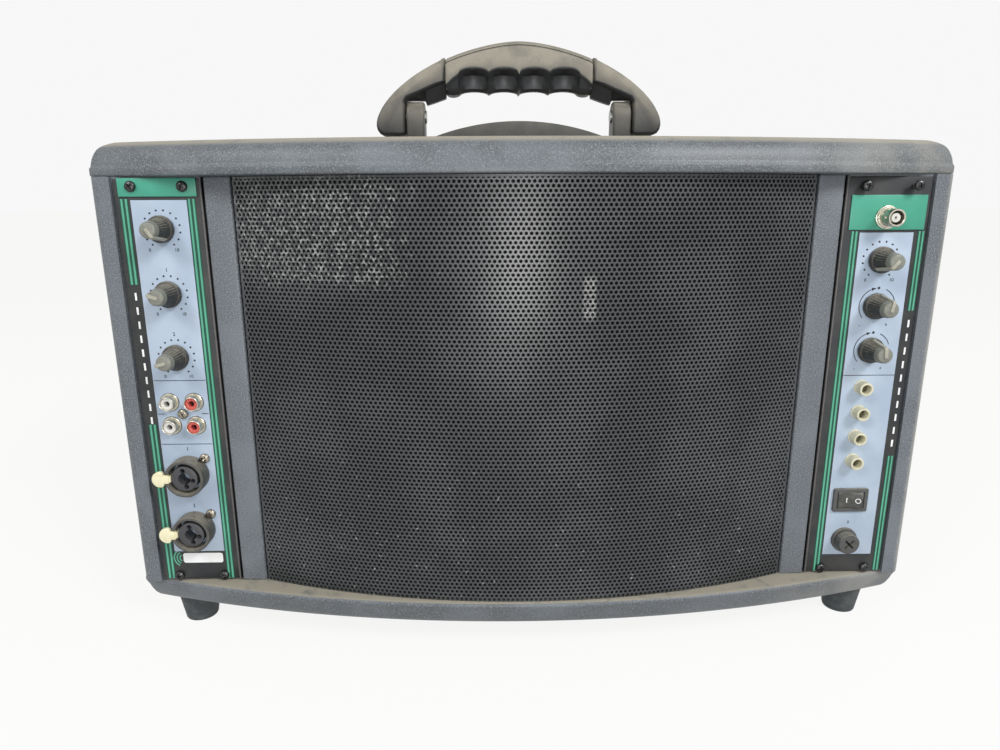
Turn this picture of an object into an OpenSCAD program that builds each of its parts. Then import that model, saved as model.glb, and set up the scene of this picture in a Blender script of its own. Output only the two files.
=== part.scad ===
// Portable wireless PA speaker: a cabinet between a moulded base and cap, with a bowed
// grille, two control panels and a folding handle. Millimetres, Z up, front towards -Y,
// origin on the floor under the middle of the cabinet.

/* [Cabinet] */
// Width over the lips of the base and cap
overall_w = 473; // [465:1:580]
// Depth from the crest of the bowed front to the back
overall_d = 270; // [225:1:340]
// Height of the cabinet walls between base and cap
window_h = 239; // [239:1:320]
// Height of the moulded base
base_h = 17; // [14:0.5:24]
// Height of the moulded cap
cap_h = 18.6; // [15:0.1:26]
// Radius of the bowed front of base and cap
front_r = 770; // [700:10:1200]
// Reach of the bowed front past the control panels
bow = 30; // [28:0.5:36]
// Overhang of base and cap past the cabinet walls
lip = 2.5; // [1:0.5:5]
// Thickness of the cabinet walls
wall = 4; // [3:0.5:6]
// Thickness of the cabinet's front flanges
flange_t = 3; // [2.5:0.5:4]
// Corner radius of the cabinet
corner_r = 6; // [3:0.5:10]

/* [Front] */
// Width of the grille opening
grille_w = 317; // [260:1:330]
// Radius of the bowed grille
grille_r = 450; // [430:10:600]
// Thickness of the grille steel
grille_t = 1.2; // [0.8:0.1:2]
// Width of the post between grille and control panel
post_w = 14.4; // [12:0.2:20]
// Width of a control panel's slot
slot_w = 49.6; // [48:0.2:54]
// Gap around a control panel
panel_gap = 1.2; // [0.6:0.1:1.6]
// Thickness of a control panel
panel_t = 2.2; // [1.6:0.1:3]
// Thickness of the printed labels
label_t = 0.3; // [0.2:0.1:0.5]
// Width of the printed labels
label_w = 30; // [28:0.5:32]
// Height of the rails that the panels screw to
rail_h = 13; // [10:0.5:16]

/* [Controls] */
// Diameter of a knob's skirt
knob_d = 14.7; // [14:0.1:17]
// Height of a knob above its panel
knob_h = 17.5; // [15:0.5:22]
// Diameter of a potentiometer shaft
shaft_d = 6; // [5:0.1:6.3]
// Clearance between a turning shaft and its bore, on the radius
shaft_fit = 0.05; // [0.02:0.01:0.1]
// Outer diameter of a microphone jack's collar
collar_d = 22.5; // [21.5:0.1:24]
// Reach of the microphone jack's collar
collar_h = 10; // [8:0.5:12]
// Bore of the quarter inch jack
jack_bore = 6.5; // [6.4:0.05:6.6]
// Outer diameter of a phono socket
rca_d = 8.3; // [8.2:0.05:8.4]
// Outer diameter of the aerial socket's barrel
bnc_d = 9.6; // [9.5:0.05:9.7]
// Outer diameter of an indicator lamp holder
lamp_d = 8; // [7:0.1:9]
// Rest angle of each knob's pointer, clockwise from the top
knob_turns = [148, -72, -106, -140, 10, -5]; // [-150:1:150]

/* [Handle] */
// Width over the handle's arms
handle_w = 188; // [180:1:220]
// Height of the handle's pivot above the cap
pivot_h = 22.4; // [22:0.2:28]
// Height of the handle's top above the cap
handle_h = 68; // [66:0.5:80]
// Depth of the handle's grip
grip_d = 24; // [20:0.5:26]
// Diameter of the pivot pins
pin_d = 8; // [6:0.5:10]
// Clearance between handle and pin, on the radius
pin_fit = 0.05; // [0.02:0.01:0.1]

/* [Feet] */
// Height of the rubber feet
foot_h = 19; // [15:0.5:25]
// Upper diameter of a foot
foot_top_d = 26; // [24:0.5:34]
// Lower diameter of a foot
foot_low_d = 19.5; // [18:0.5:28]

/* [Hidden] */
$fn = 64;
hull_fn = 32;
eps = 0.02;
slip = 0.3;

// levels and planes
base_top = foot_h + base_h;
win_top = base_top + window_h;
cap_top = win_top + cap_h;
mid_z = (base_top + win_top) / 2;
front_y = -overall_d / 2;
back_y = overall_d / 2 - lip;
panel_y = front_y + bow;
body_w = overall_w - 2 * lip;
body_d = back_y - panel_y;
in_w = body_w - 2 * wall;
crest_drop = 3;
base_tuck = 9;
cap_tuck = 10;
floor_t = 4;

// the stack of a control panel, behind and in front of the cabinet's face
plate_front = panel_y + flange_t - panel_t;
plate_back = panel_y + flange_t;
rail_y = plate_back;
rail_t = 5;
slot_x = grille_w / 2 + post_w + slot_w / 2;
plate_w = slot_w - 2 * panel_gap;
plate_h = window_h - 2 * panel_gap;
screw_x = 13.7;
screw_end = 5.1;
screw_d = 2.9;
screw_head_d = 5.8;

// distances of the controls below the top of the window
left_knobs = [27.5, 62.8, 98.6];
right_knobs = [46, 71.8, 97.2];
rca_mid = 132;
rca_pitch = 14;
jack_drops = [168.9, 204.2];
jack_screw = [9.6, 9.6];
bnc_drop = 22.9;
lamp_x = -2.2;
lamp_first = 119.2;
lamp_pitch = 15.1;
lamp_count = 4;
rocker_x = -0.8;
rocker_drop = 189.7;
fuse_x = -1.5;
fuse_drop = 216;
left_label_span = [12.2, 219.2];
right_label_span = [31.1, 226.2];
left_header_span = [0.8, 10.4];
right_header_span = [10.9, 29.6];
header_w = 41.8;
header_t = 0.8;
foot_x = overall_w / 2 - 26.5;

knob_side = [-1, -1, -1, 1, 1, 1];
knob_drops = concat(left_knobs, right_knobs);
// how far the right panel's prints sit to the outside of its controls
print_shift = 1.5;
// bores in panels and labels, over what passes through them
pass_screw = screw_d + 0.4;
tap_screw = screw_d + 2 * eps;
bore_bush = 7.3;
bore_rca = 11.4;
bore_jack = collar_d - 2;
bore_bnc = 9.8;
bore_lamp = 5.4;
bore_fuse = 12.8;
cut_rocker = [19.4, 13.4];

// knob stack above the label
nut_d = 11.5;
nut_h = 1.8;
bush_d = 7;
bush_h = 2.4;
knob_base = 0.9;
skirt_h = 3;
tip_h = 4;
pot_w = 17;
pot_d = 10;
pot_floor = 2;
shaft_start = pot_floor + 0.2 - pot_d - panel_t;
skirt_edge = 0.8;
shaft_stop = 3;
knob_recess_h = 2.3;
knob_shoulder = knob_base + skirt_h;
knob_neck = knob_h - tip_h;
cone_d = [12.6, 9.3];
tip_d = [9.5, 8];
pointer_w = 1.5;
pointer_out = 0.9;
board_back = plate_back + pot_d;
board_t = 1.6;
board_half = 17;

// phono sockets and microphone jacks
socket_back = 8;
rca_body = 28;
rca_body_d = 12;
rca_bush_d = 11;
rca_wall = 0.6;
rca_bore = 3.3;
rca_out = 5.4;
rca_insert_out = 4.6;
collar_in = collar_d - 3.9;
insert_d = 15.3;
insert_out = 9;
jack_depth = 20;
jack_body = 25;
jack_floor = 2;
notch_w = 6;
notch_z = 4;
lobe_r = 4.6;
lobe_d = 2.4;
lobe_w = 1.8;
lobe_back = 8;
tab_w = 10;
tab_t = 2.4;
tab_reach = 7;
tab_out = 0.2;
latch_w = 3.6;
latch_z = 1.8;

// aerial socket, lamps, switch and fuse
bnc_flange_d = 12.7;
bnc_flange_t = 2;
bnc_out = 10.6;
bnc_stem_d = 9.4;
bnc_lug_d = 1.9;
bnc_lug_w = 11.4;
bnc_lug_z = 7.5;
bnc_core = [4.8, 1.4];
bnc_floor = 3;
lamp_bore = 5.2;
lamp_out = 6.7;
led_d = 4.9;
rocker_bezel = [21, 15, 1.7];
rocker_body = [19, 13, 14];
rocker_open = [16.4, 10.6];
rocker_side = 0.5;
rocker_pivot = -2;
rocker_pin = [2, 12];
rocker_tilt = 8;
fuse_flange = [15.6, 1.8];
fuse_body_d = 12.4;
fuse_body_h = 30;
fuse_wall = 1.6;
fuse_cap_d = 13;
fuse_cap_h = 5;
fuse_stem_h = 5;
fuse_d = 5.2;
fuse_len = 20;
fuse_slot = [6, 1.1, 1.5];

// grille, baffle and drivers
grille_cy = panel_y - bow + 2.2 + grille_r;
grille_side = grille_w / 2 - 1;
foam_t = 3;
baffle_y = 9;
baffle_t = 12;
woofer_z = base_top + 108;
woofer_d = 200;
woofer_lip = 7;
frame_rim = 8;
frame_back = 58;
frame_t = 2.5;
frame_low_r = 48;
magnet_d = 100;
magnet_h = 22;
coil_gap = [40, 33, 15];
coil_r = 19;
coil_t = 1;
cone_r = woofer_d / 2 - 11;
tweeter_x = 128;
tweeter_z = win_top - 32;
tweeter_d = [46, 30, 26.5];

// rear panel and mains inlet
rear_half = in_w / 2 - 12;
rear_ledge = 10;
louvre_x = [-95, 35];
louvre_w = 60;
louvre_h = 4;
louvre_pitch = 8;
louvre_top = win_top - 41;
louvre_count = 6;
inlet_x = -150;
inlet_z = base_top + 50;
inlet_flange = [31, 24];
inlet_body = [27, 20];
inlet_open = [24, 16];
inlet_cut = 0.4;
inlet_depth = 20;
pin_pitch = 7;
pin_w = 2;
pin_h = 4;

// what stands inside
tongue = slip * 10;
receiver_d = 20;
amp_x = [80, 180];
amp_z = [base_top + 30, base_top + 130];
amp_plate = 3;
fin_count = 10;
fin_pitch = 10.5;
fin_t = 2;
fin_d = 22;
battery_x = 75.5;
battery_y = [25, 90];
battery_h = 94;
terminal = [6, 1, 6];

// feet
foot_y = [panel_y + 22.5, back_y - 22.5];
foot_well = [11, 5];
foot_screw = [4.9, 9.6, 2.5];
foot_bore = 5.4;

// handle
pivot_z = cap_top + pivot_h;
lug_x = 62;
lug_w = 12;
lug_floor = 1;
pin_reach = lug_w + 12;
arm_in = lug_x + lug_w + slip;
arm_eye = 13.5;
arch_foot = 15.5;
arch_power = 1.68;
grip_half = 47.5;
dome_r = 165;
dome_h = 19;
dome_d = 19;
grip_low = 33.5;
finger_pitch = 19.5;
finger_r = 12;
finger_rise = 3.2;
spigot_d = 12;
spigot_z = cap_top + 50;
spigot_in = 18;
seam = 0.1;

// ---------- helpers ----------

// a rectangle with true round corners, centred
module round_rect(w, d, r, steps = $fn) {
  square([w - 2 * r, d], center = true);
  square([w, d - 2 * r], center = true);
  for (x = [-1, 1], y = [-1, 1])
    translate([x * (w / 2 - r), y * (d / 2 - r)]) circle(r, $fn = steps);
}

// plan of base and cap with its bowed front, drawn inwards by inset
module footprint(inset) {
  intersection() {
    round_rect(overall_w - 2 * inset, overall_d - 2 * inset, corner_r + lip, hull_fn);
    translate([0, front_y + front_r]) circle(front_r - inset, $fn = 180);
  }
}

module layer(z, inset, t = 0.4) {
  translate([0, 0, z]) linear_extrude(t) footprint(inset);
}

// a place on a control panel: x from its middle, drop below the window's top,
// with z pointing out of the panel's face
module on_panel(side, x, drop) {
  translate([side * slot_x + x, plate_front, win_top - drop]) rotate([90, 0, 0]) children();
}

module tube(od, id, h) {
  difference() {
    cylinder(d = od, h = h);
    translate([0, 0, -1]) cylinder(d = id, h = h + 2);
  }
}

module box(x, y, z) {
  translate([x[0], y[0], z[0]]) cube([x[1] - x[0], y[1] - y[0], z[1] - z[0]]);
}

function span(w) = [-w / 2, w / 2];

module mirrored() {
  children();
  mirror([1, 0, 0]) children();
}

// pan head screw pointing into the panel, with a cross in its head
module pan_screw(proud, reach) {
  difference() {
    union() {
      translate([0, 0, proud]) cylinder(d = screw_head_d, h = 1.2);
      translate([0, 0, proud + 1.2]) cylinder(d1 = screw_head_d, d2 = screw_head_d - 2, h = 0.9);
      translate([0, 0, -reach]) cylinder(d = screw_d, h = reach + proud);
    }
    for (a = [0, 90]) rotate([0, 0, a]) translate([-1.7, -0.35, proud + 0.8]) cube([3.4, 0.7, 2]);
  }
}

function screw_drops(side) = [side < 0 ? screw_end : screw_end + 1, window_h - 3.6];

// ---------- cabinet ----------

module bottom_base() {
  color("dimgray") difference() {
    hull() {
      layer(foot_h, base_tuck);
      layer(foot_h + 2.5, 4.2);
      layer(foot_h + 7, 2.4);
      layer(base_top - crest_drop - 2, 0);
      layer(base_top - crest_drop - 0.4, 0);
      layer(base_top - 0.4, lip);
    }
    box([-in_w / 2, in_w / 2], [panel_y + baffle_y, back_y - 2 * wall], [foot_h + floor_t, base_top + 1]);
    for (x = [-1, 1], y = foot_y)
      translate([x * foot_x, y, foot_h - 1]) cylinder(d = 5, h = base_h);
  }
}

module top_cap() {
  color("dimgray") difference() {
    hull() {
      layer(win_top, lip);
      layer(win_top + 0.4, 0);
      layer(win_top + 4, 0);
      layer(cap_top - 4, 4.8);
      layer(cap_top - 0.4, cap_tuck);
    }
    box([-in_w / 2, in_w / 2], [panel_y + baffle_y, back_y - 2 * wall],
        [win_top - 1, cap_top - floor_t]);
  }
}

module wall_plan() {
  translate([0, (panel_y + back_y) / 2]) round_rect(body_w, body_d, corner_r);
}

module cabinet_shell() {
  slot_out = slot_x + slot_w / 2;
  color("slategray") difference() {
    union() {
      difference() {
        translate([0, 0, base_top]) linear_extrude(window_h) wall_plan();
        box([-in_w / 2, in_w / 2], [panel_y + flange_t, back_y - wall], [base_top - 1, win_top + 1]);
        box([-slot_out, slot_out], [panel_y - 1, panel_y + flange_t + 1], [base_top - 1, win_top + 1]);
        box([-rear_half, rear_half], [back_y - wall - 1, back_y + 1],
            [base_top + rear_ledge, win_top - rear_ledge]);
      }
      // tongues behind the panels' outer edges and cross rails at their ends
      mirrored() {
        box([slot_out - tongue, in_w / 2], [rail_y, rail_y + 2], [base_top, win_top]);
        for (z = [base_top, win_top - rail_h])
          box([grille_w / 2 + post_w, in_w / 2], [rail_y, rail_y + rail_t], [z, z + rail_h]);
      }
      // ledge that the rear panel screws to
      difference() {
        box([-in_w / 2, in_w / 2], [back_y - 2 * wall, back_y - wall], [base_top, win_top]);
        box([-rear_half + rear_ledge, rear_half - rear_ledge], [back_y - 2 * wall - 1, back_y],
            [base_top + 2 * rear_ledge, win_top - 2 * rear_ledge]);
      }
    }
    for (side = [-1, 1], x = [-screw_x, screw_x], d = screw_drops(side))
      on_panel(side, x, d) translate([0, 0, -rail_h]) cylinder(d = tap_screw, h = rail_h);
    for (p = rear_screw_places())
      translate([p[0], back_y - 2 * wall - 1, p[1]]) rotate([-90, 0, 0])
        cylinder(d = tap_screw, h = wall + 2);
  }
}

function rear_screw_places() = [for (x = [-1, 0, 1], z = [base_top + 15, mid_z, win_top - 15])
  if (x != 0 || z != mid_z) [x * (in_w / 2 - 17), z]];

module rear_panel() {
  edge = panel_gap / 2;
  color("darkslategray") difference() {
    box([-rear_half + edge, rear_half - edge], [back_y - wall, back_y - 1],
      [base_top + rear_ledge + edge, win_top - rear_ledge - edge]);
    for (p = rear_screw_places())
      translate([p[0], back_y - wall - 1, p[1]]) rotate([-90, 0, 0]) cylinder(d = pass_screw, h = wall + 2);
    for (i = [0:louvre_count - 1], x = louvre_x) translate([x, 0, louvre_top - i * louvre_pitch])
      box([0, louvre_w], [back_y - wall - 1, back_y], [-louvre_h, 0]);
    translate([inlet_x, 0, inlet_z])
      box(span(inlet_body[0] + 2 * inlet_cut), [back_y - wall - 1, back_y],
        span(inlet_body[1] + 2 * inlet_cut));
  }
}

module posts() {
  color("slategray") mirrored() {
    box([grille_w / 2, grille_w / 2 + post_w], [panel_y, panel_y + baffle_y], [base_top, win_top]);
    box([grille_w / 2 + post_w, grille_w / 2 + post_w + tongue], [rail_y, rail_y + 2],
        [base_top + rail_h, win_top - rail_h]);
  }
}

module baffle_board() {
  half = grille_w / 2 + post_w;
  color("peru") difference() {
    box([-half, half], [panel_y + baffle_y, panel_y + baffle_y + baffle_t], [base_top, win_top]);
    translate([0, panel_y, woofer_z]) rotate([-90, 0, 0])
      cylinder(r = woofer_d / 2 - woofer_lip, h = baffle_y + baffle_t + 1);
    translate([tweeter_x, panel_y, tweeter_z]) rotate([-90, 0, 0])
      cylinder(d = tweeter_d[1] + 0.4, h = baffle_y + baffle_t + 1);
  }
}

// ---------- grille and drivers ----------

module arc_sheet(r, t, z0, z1) {
  translate([0, 0, z0]) linear_extrude(z1 - z0) intersection() {
    translate([0, grille_cy]) difference() {
      circle(r, $fn = 720);
      circle(r - t, $fn = 720);
    }
    translate([-grille_side, front_y]) square([2 * grille_side, 2 * bow]);
  }
}

function arc_back(r, x) = grille_cy - sqrt(r * r - x * x);

module grille() {
  edge_y = arc_back(grille_r, grille_side) + grille_t / 2;
  color("black") union() {
    arc_sheet(grille_r, grille_t, base_top + slip, win_top - slip);
    mirrored() box([grille_side - grille_t, grille_side], [edge_y, panel_y + baffle_y - eps],
      [base_top + slip, win_top - slip]);
  }
}

module grille_foam() {
  color("dimgray") intersection() {
    arc_sheet(grille_r - grille_t - slip, foam_t, base_top + 1, win_top - 1);
    box([-grille_side + foam_t, grille_side - foam_t], [front_y, panel_y + baffle_y], [base_top, win_top]);
  }
}

module at_woofer() {
  translate([0, panel_y, woofer_z]) rotate([-90, 0, 0]) children();
}

module woofer_frame() {
  r = woofer_d / 2;
  inner = r - frame_rim;
  color("dimgray") at_woofer() difference() {
    rotate_extrude($fn = 96) polygon([[r, baffle_y - 3], [r, baffle_y], [inner, baffle_y], [inner, 30],
      [frame_low_r, frame_back], [30, frame_back], [30, frame_back - frame_t],
      [frame_low_r - 1.5, frame_back - frame_t], [inner - frame_t, 28], [inner - frame_t, baffle_y - 3]]);
    // windows between the six ribs
    for (a = [0:60:300]) rotate([0, 0, a]) translate([frame_low_r + 2, -16, 32]) cube([35, 32, 22]);
  }
}

module woofer_magnet() {
  color("silver") at_woofer() difference() {
    translate([0, 0, frame_back]) cylinder(d = magnet_d, h = magnet_h);
    translate([0, 0, frame_back - 1]) difference() {
      cylinder(d = coil_gap[0], h = coil_gap[2] + 1);
      cylinder(d = coil_gap[1], h = coil_gap[2] + 1);
    }
  }
}

module woofer_cone() {
  r = cone_r;
  coil_end = frame_back + 4;
  color("black") at_woofer() {
    rotate_extrude($fn = 96) polygon([[r, 12], [r - 10, 8], [r - 17, 14], [coil_r, 44], [coil_r, coil_end],
      [coil_r - coil_t, coil_end], [coil_r - coil_t, 43], [r - 17, 12.8], [r - 10, 6.8], [r, 10.8]]);
    // dust cap
    translate([0, 0, 41.5]) intersection() {
      translate([0, 0, 15]) sphere(r = 23);
      cylinder(r = coil_r - coil_t - 0.1, h = 2, center = true);
    }
  }
}

module tweeter() {
  color("dimgray") translate([tweeter_x, panel_y + baffle_y, tweeter_z]) rotate([-90, 0, 0]) union() {
    translate([0, 0, -2]) tube(tweeter_d[0], tweeter_d[2] - 0.5, 2);
    tube(tweeter_d[1], tweeter_d[2] - 0.5, 18);
    translate([0, 0, 6]) cylinder(d1 = 8, d2 = tweeter_d[2], h = 4);
    translate([0, 0, 9]) cylinder(d = tweeter_d[2], h = 9);
  }
}

// ---------- control panels ----------

module plate(side) {
  x = side * slot_x;
  difference() {
    box([x - plate_w / 2, x + plate_w / 2], [plate_front, plate_back],
        [base_top + panel_gap, win_top - panel_gap]);
    for (s = [-screw_x, screw_x], d = screw_drops(side)) bore(side, s, d, pass_screw);
  }
}

module bore(side, x, drop, d) {
  on_panel(side, x, drop) translate([0, 0, -panel_t - 1]) cylinder(d = d, h = panel_t + 3);
}

module slab(side, drops, w, t, shift = 0) {
  on_panel(side, shift, drops[1]) translate([-w / 2, 0, 0]) cube([w, drops[1] - drops[0], t]);
}

module left_bores() {
  for (d = left_knobs) bore(-1, 0, d, bore_bush);
  for (x = [-1, 1], z = [-1, 1]) bore(-1, x * rca_pitch / 2, rca_mid + z * rca_pitch / 2, bore_rca);
  bore(-1, 0, rca_mid, pass_screw);
  for (d = jack_drops) {
    bore(-1, 0, d, bore_jack);
    bore(-1, jack_screw[0], d - jack_screw[1], pass_screw);
  }
}

module right_bores() {
  for (d = right_knobs) bore(1, 0, d, bore_bush);
  bore(1, 0, bnc_drop, bore_bnc);
  for (i = [0:lamp_count - 1]) bore(1, lamp_x, lamp_first + i * lamp_pitch, bore_lamp);
  on_panel(1, rocker_x, rocker_drop) box(span(cut_rocker[0]), span(cut_rocker[1]), span(8));
  bore(1, fuse_x, fuse_drop, bore_fuse);
}

module left_panel() {
  color([0.17, 0.18, 0.19]) difference() {
    plate(-1);
    left_bores();
  }
}

module right_panel() {
  color([0.17, 0.18, 0.19]) difference() {
    plate(1);
    right_bores();
  }
}

module left_label() {
  color("lightsteelblue") difference() {
    slab(-1, left_label_span, label_w, label_t);
    left_bores();
  }
}

module right_label() {
  color("lightsteelblue") difference() {
    slab(1, right_label_span, label_w, label_t, print_shift);
    right_bores();
  }
}

module left_header() {
  color("mediumaquamarine") difference() {
    slab(-1, left_header_span, header_w, header_t);
    for (x = [-screw_x, screw_x]) bore(-1, x, screw_end, pass_screw);
  }
}

module right_header() {
  color("mediumaquamarine") difference() {
    slab(1, right_header_span, header_w, header_t, print_shift / 2);
    bore(1, 0, bnc_drop, bore_bnc);
  }
}

module panel_screws() {
  color("darkgray") {
    for (x = [-screw_x, screw_x]) {
      on_panel(-1, x, screw_end) pan_screw(header_t, 6);
      on_panel(-1, x, window_h - 3.6) pan_screw(0, 6);
      on_panel(1, x, window_h - 3.6) pan_screw(0, 6);
      on_panel(1, x, screw_end + 1) pan_screw(x < 0 ? 3 : 4.2, 5);
    }
    on_panel(-1, 0, rca_mid) pan_screw(label_t, 6);
    for (d = jack_drops) on_panel(-1, jack_screw[0], d - jack_screw[1]) pan_screw(label_t, 6);
  }
}

// ---------- knobs ----------

module at_knob(i) {
  on_panel(knob_side[i], 0, knob_drops[i]) rotate([0, 0, -knob_turns[i]]) children();
}

module potentiometers() {
  color("darkgray") for (i = [0:len(knob_drops) - 1]) on_panel(knob_side[i], 0, knob_drops[i]) {
    difference() {
      union() {
        translate([-pot_w / 2, -pot_w / 2, -panel_t - pot_d]) cube([pot_w, pot_w, pot_d]);
        translate([0, 0, -panel_t]) cylinder(d = bush_d, h = panel_t + bush_h);
      }
      translate([0, 0, -panel_t - pot_d + pot_floor])
        cylinder(d = shaft_d + 2 * shaft_fit, h = panel_t + pot_d + bush_h);
    }
    translate([0, 0, label_t]) difference() {
      cylinder(d = nut_d, h = nut_h, $fn = 6);
      translate([0, 0, -1]) cylinder(d = bush_d + 2 * eps, h = nut_h + 2);
    }
  }
}

module knob_cone(extra = 0) {
  translate([0, 0, knob_shoulder])
    cylinder(d1 = cone_d[0] + 2 * extra, d2 = cone_d[1] + 2 * extra, h = knob_neck - knob_shoulder);
}

module knob(i) {
  color([0.2, 0.19, 0.18]) at_knob(i) {
    difference() {
      union() {
        translate([0, 0, knob_base]) cylinder(d = knob_d, h = skirt_h - skirt_edge);
        translate([0, 0, knob_shoulder - skirt_edge])
          cylinder(d1 = knob_d, d2 = knob_d - 2 * skirt_edge, h = skirt_edge);
        knob_cone();
      }
      translate([0, 0, knob_base - 1]) cylinder(d = nut_d + 1.1, h = 1 + knob_recess_h);
      translate([0, 0, knob_base]) cylinder(d = shaft_d + 2 * eps, h = knob_neck - shaft_stop);
    }
    translate([0, 0, shaft_start]) cylinder(d = shaft_d, h = knob_neck - shaft_stop + 0.2 - shaft_start);
  }
}

module knob_tip(i) {
  color([0.76, 0.77, 0.7]) at_knob(i) difference() {
    union() {
      translate([0, 0, knob_neck]) cylinder(d1 = tip_d[0], d2 = tip_d[1], h = tip_h);
      // pointer: a ridge down one side and over the top
      intersection() {
        translate([-pointer_w / 2, 0, knob_shoulder]) cube([pointer_w, knob_d, knob_h]);
        union() {
          knob_cone(pointer_out);
          translate([0, 0, knob_neck - eps])
            cylinder(d1 = cone_d[1] + 2 * pointer_out, d2 = tip_d[1] + 1, h = tip_h);
          translate([0, 0, knob_h - eps]) cylinder(d1 = tip_d[1] + 0.4, d2 = tip_d[1] - 0.4, h = 0.6);
        }
      }
    }
    knob_cone(eps);
  }
}

module control_boards() {
  back = [board_back, board_back + board_t];
  color("darkgreen") {
    box([-slot_x - board_half, -slot_x + board_half], back, [win_top - 110, win_top - 18]);
    box([slot_x - board_half, slot_x + board_half], back, [win_top - 172, win_top - 38]);
  }
}

// ---------- sockets, lamps and switch ----------

module each_rca() {
  for (x = [-1, 1], z = [-1, 1])
    on_panel(-1, x * rca_pitch / 2, rca_mid + z * rca_pitch / 2) children();
}

module rca_block() {
  color([0.12, 0.12, 0.12]) difference() {
    union() {
      on_panel(-1, 0, rca_mid)
        box(span(rca_body), span(rca_body), [-panel_t - rca_body_d, -panel_t]);
      each_rca() translate([0, 0, -panel_t - eps]) cylinder(d = rca_bush_d, h = panel_t + label_t + 0.1);
    }
    each_rca() translate([0, 0, -socket_back]) cylinder(d = rca_d + 2 * eps, h = socket_back + 4);
    on_panel(-1, 0, rca_mid) translate([0, 0, -socket_back]) cylinder(d = tap_screw, h = socket_back + 4);
  }
}

module rca_shells() {
  color("silver") each_rca() translate([0, 0, -socket_back])
    tube(rca_d, rca_d - 2 * rca_wall, socket_back + rca_out);
}

module rca_inserts() {
  color("whitesmoke") each_rca() translate([0, 0, -socket_back])
    tube(rca_d - 2 * rca_wall - 2 * eps, rca_bore, socket_back + rca_insert_out);
}

module each_jack() {
  for (d = jack_drops) on_panel(-1, 0, d) children();
}

module combo_jack_collars() {
  color("dimgray") each_jack() difference() {
    union() {
      translate([0, 0, label_t]) cylinder(d = collar_d, h = collar_h - label_t);
      translate([0, 0, -panel_t]) cylinder(d = collar_d - 2.4, h = panel_t + 1);
      box(span(jack_body), span(jack_body), [-panel_t - jack_depth, -panel_t]);
    }
    translate([0, 0, -panel_t - jack_depth + jack_floor]) cylinder(d = collar_in, h = 2 * jack_depth);
    translate([-collar_d, -notch_w / 2, notch_z]) cube([collar_d, notch_w, collar_h]);
    translate([jack_screw[0], jack_screw[1], -9]) cylinder(d = tap_screw, h = 9 - panel_t + 1);
    translate([jack_screw[0], jack_screw[1], label_t - eps]) cylinder(d = screw_head_d + 0.6, h = 4);
  }
}

module combo_jack_inserts() {
  color([0.2, 0.2, 0.21]) each_jack() difference() {
    union() {
      translate([0, 0, -panel_t - jack_depth + jack_floor])
        cylinder(d = insert_d, h = panel_t + jack_depth - jack_floor + insert_out);
      translate([0, 0, -panel_t - jack_depth + jack_floor]) cylinder(d = collar_in - 2 * eps, h = 4);
    }
    translate([0, 0, -14]) cylinder(d = jack_bore, h = 2 * jack_depth);
    // the three contacts' openings: above, below and to the right
    for (a = [0, -90, 180]) rotate([0, 0, a]) {
      translate([0, lobe_r, -lobe_back]) cylinder(d = lobe_d, h = 2 * jack_depth);
      translate([-lobe_w / 2, 0, -lobe_back]) cube([lobe_w, lobe_r, 2 * jack_depth]);
    }
  }
}

module jack_tab(i) {
  gap = collar_in / 2 - insert_d / 2;
  color("cornsilk") on_panel(-1, 0, jack_drops[i]) union() {
    box([-collar_d / 2 - tab_reach, -collar_d / 2 - 0.4], span(tab_w), [collar_h - tab_t, collar_h + tab_out]);
    box([-collar_d / 2 - 1, -collar_d / 2 + 2.6 - slip], span(notch_w - 2 * slip),
      [collar_h - tab_t, collar_h - tab_out]);
    translate([-insert_d / 2 - gap + slip, 0, 0])
      box([0, gap - 2 * slip], span(latch_w), [latch_z, collar_h - 0.4]);
  }
}

module bnc_socket() {
  color("silver") on_panel(1, 0, bnc_drop) {
    difference() {
      union() {
        translate([0, 0, header_t]) cylinder(d = bnc_flange_d, h = bnc_flange_t);
        translate([0, 0, header_t]) cylinder(d = bnc_d, h = bnc_out);
        translate([0, 0, -panel_t - socket_back]) cylinder(d = bnc_stem_d, h = panel_t + socket_back + 1);
        translate([0, 0, header_t + bnc_lug_z]) rotate([0, 90, 0])
          cylinder(d = bnc_lug_d, h = bnc_lug_w, center = true);
      }
      translate([0, 0, header_t + bnc_floor]) cylinder(d = bnc_d - 1.3, h = 2 * bnc_out);
    }
    translate([0, 0, header_t + bnc_floor]) tube(bnc_core[0], bnc_core[1], bnc_out - 4);
    translate([0, 0, -panel_t - 2]) tube(bnc_flange_d, bnc_stem_d + 2 * eps, 2);
  }
}

module each_lamp() {
  for (i = [0:lamp_count - 1]) on_panel(1, lamp_x, lamp_first + i * lamp_pitch) children();
}

module led_holders() {
  color("beige") each_lamp() translate([0, 0, label_t]) tube(lamp_d, lamp_bore, lamp_out);
}

module leds() {
  color("indianred") each_lamp() {
    translate([0, 0, -panel_t - pot_d]) cylinder(d = led_d, h = panel_t + pot_d + 1);
    translate([0, 0, 1]) intersection() {
      sphere(d = led_d);
      cylinder(d = lamp_bore, h = led_d);
    }
  }
}

module rocker_housing() {
  color([0.2, 0.2, 0.2]) on_panel(1, rocker_x, rocker_drop) difference() {
    union() {
      box(span(rocker_bezel[0]), span(rocker_bezel[1]), [label_t, label_t + rocker_bezel[2]]);
      box(span(rocker_body[0]), span(rocker_body[1]), [-rocker_body[2], label_t]);
    }
    box(span(rocker_open[0]), span(rocker_open[1]), [2 - rocker_body[2], rocker_body[2]]);
    translate([0, 0, rocker_pivot]) rotate([90, 0, 0])
      cylinder(d = rocker_pin[0] + 2 * shaft_fit, h = rocker_pin[1] + 0.2, center = true);
  }
}

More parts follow.
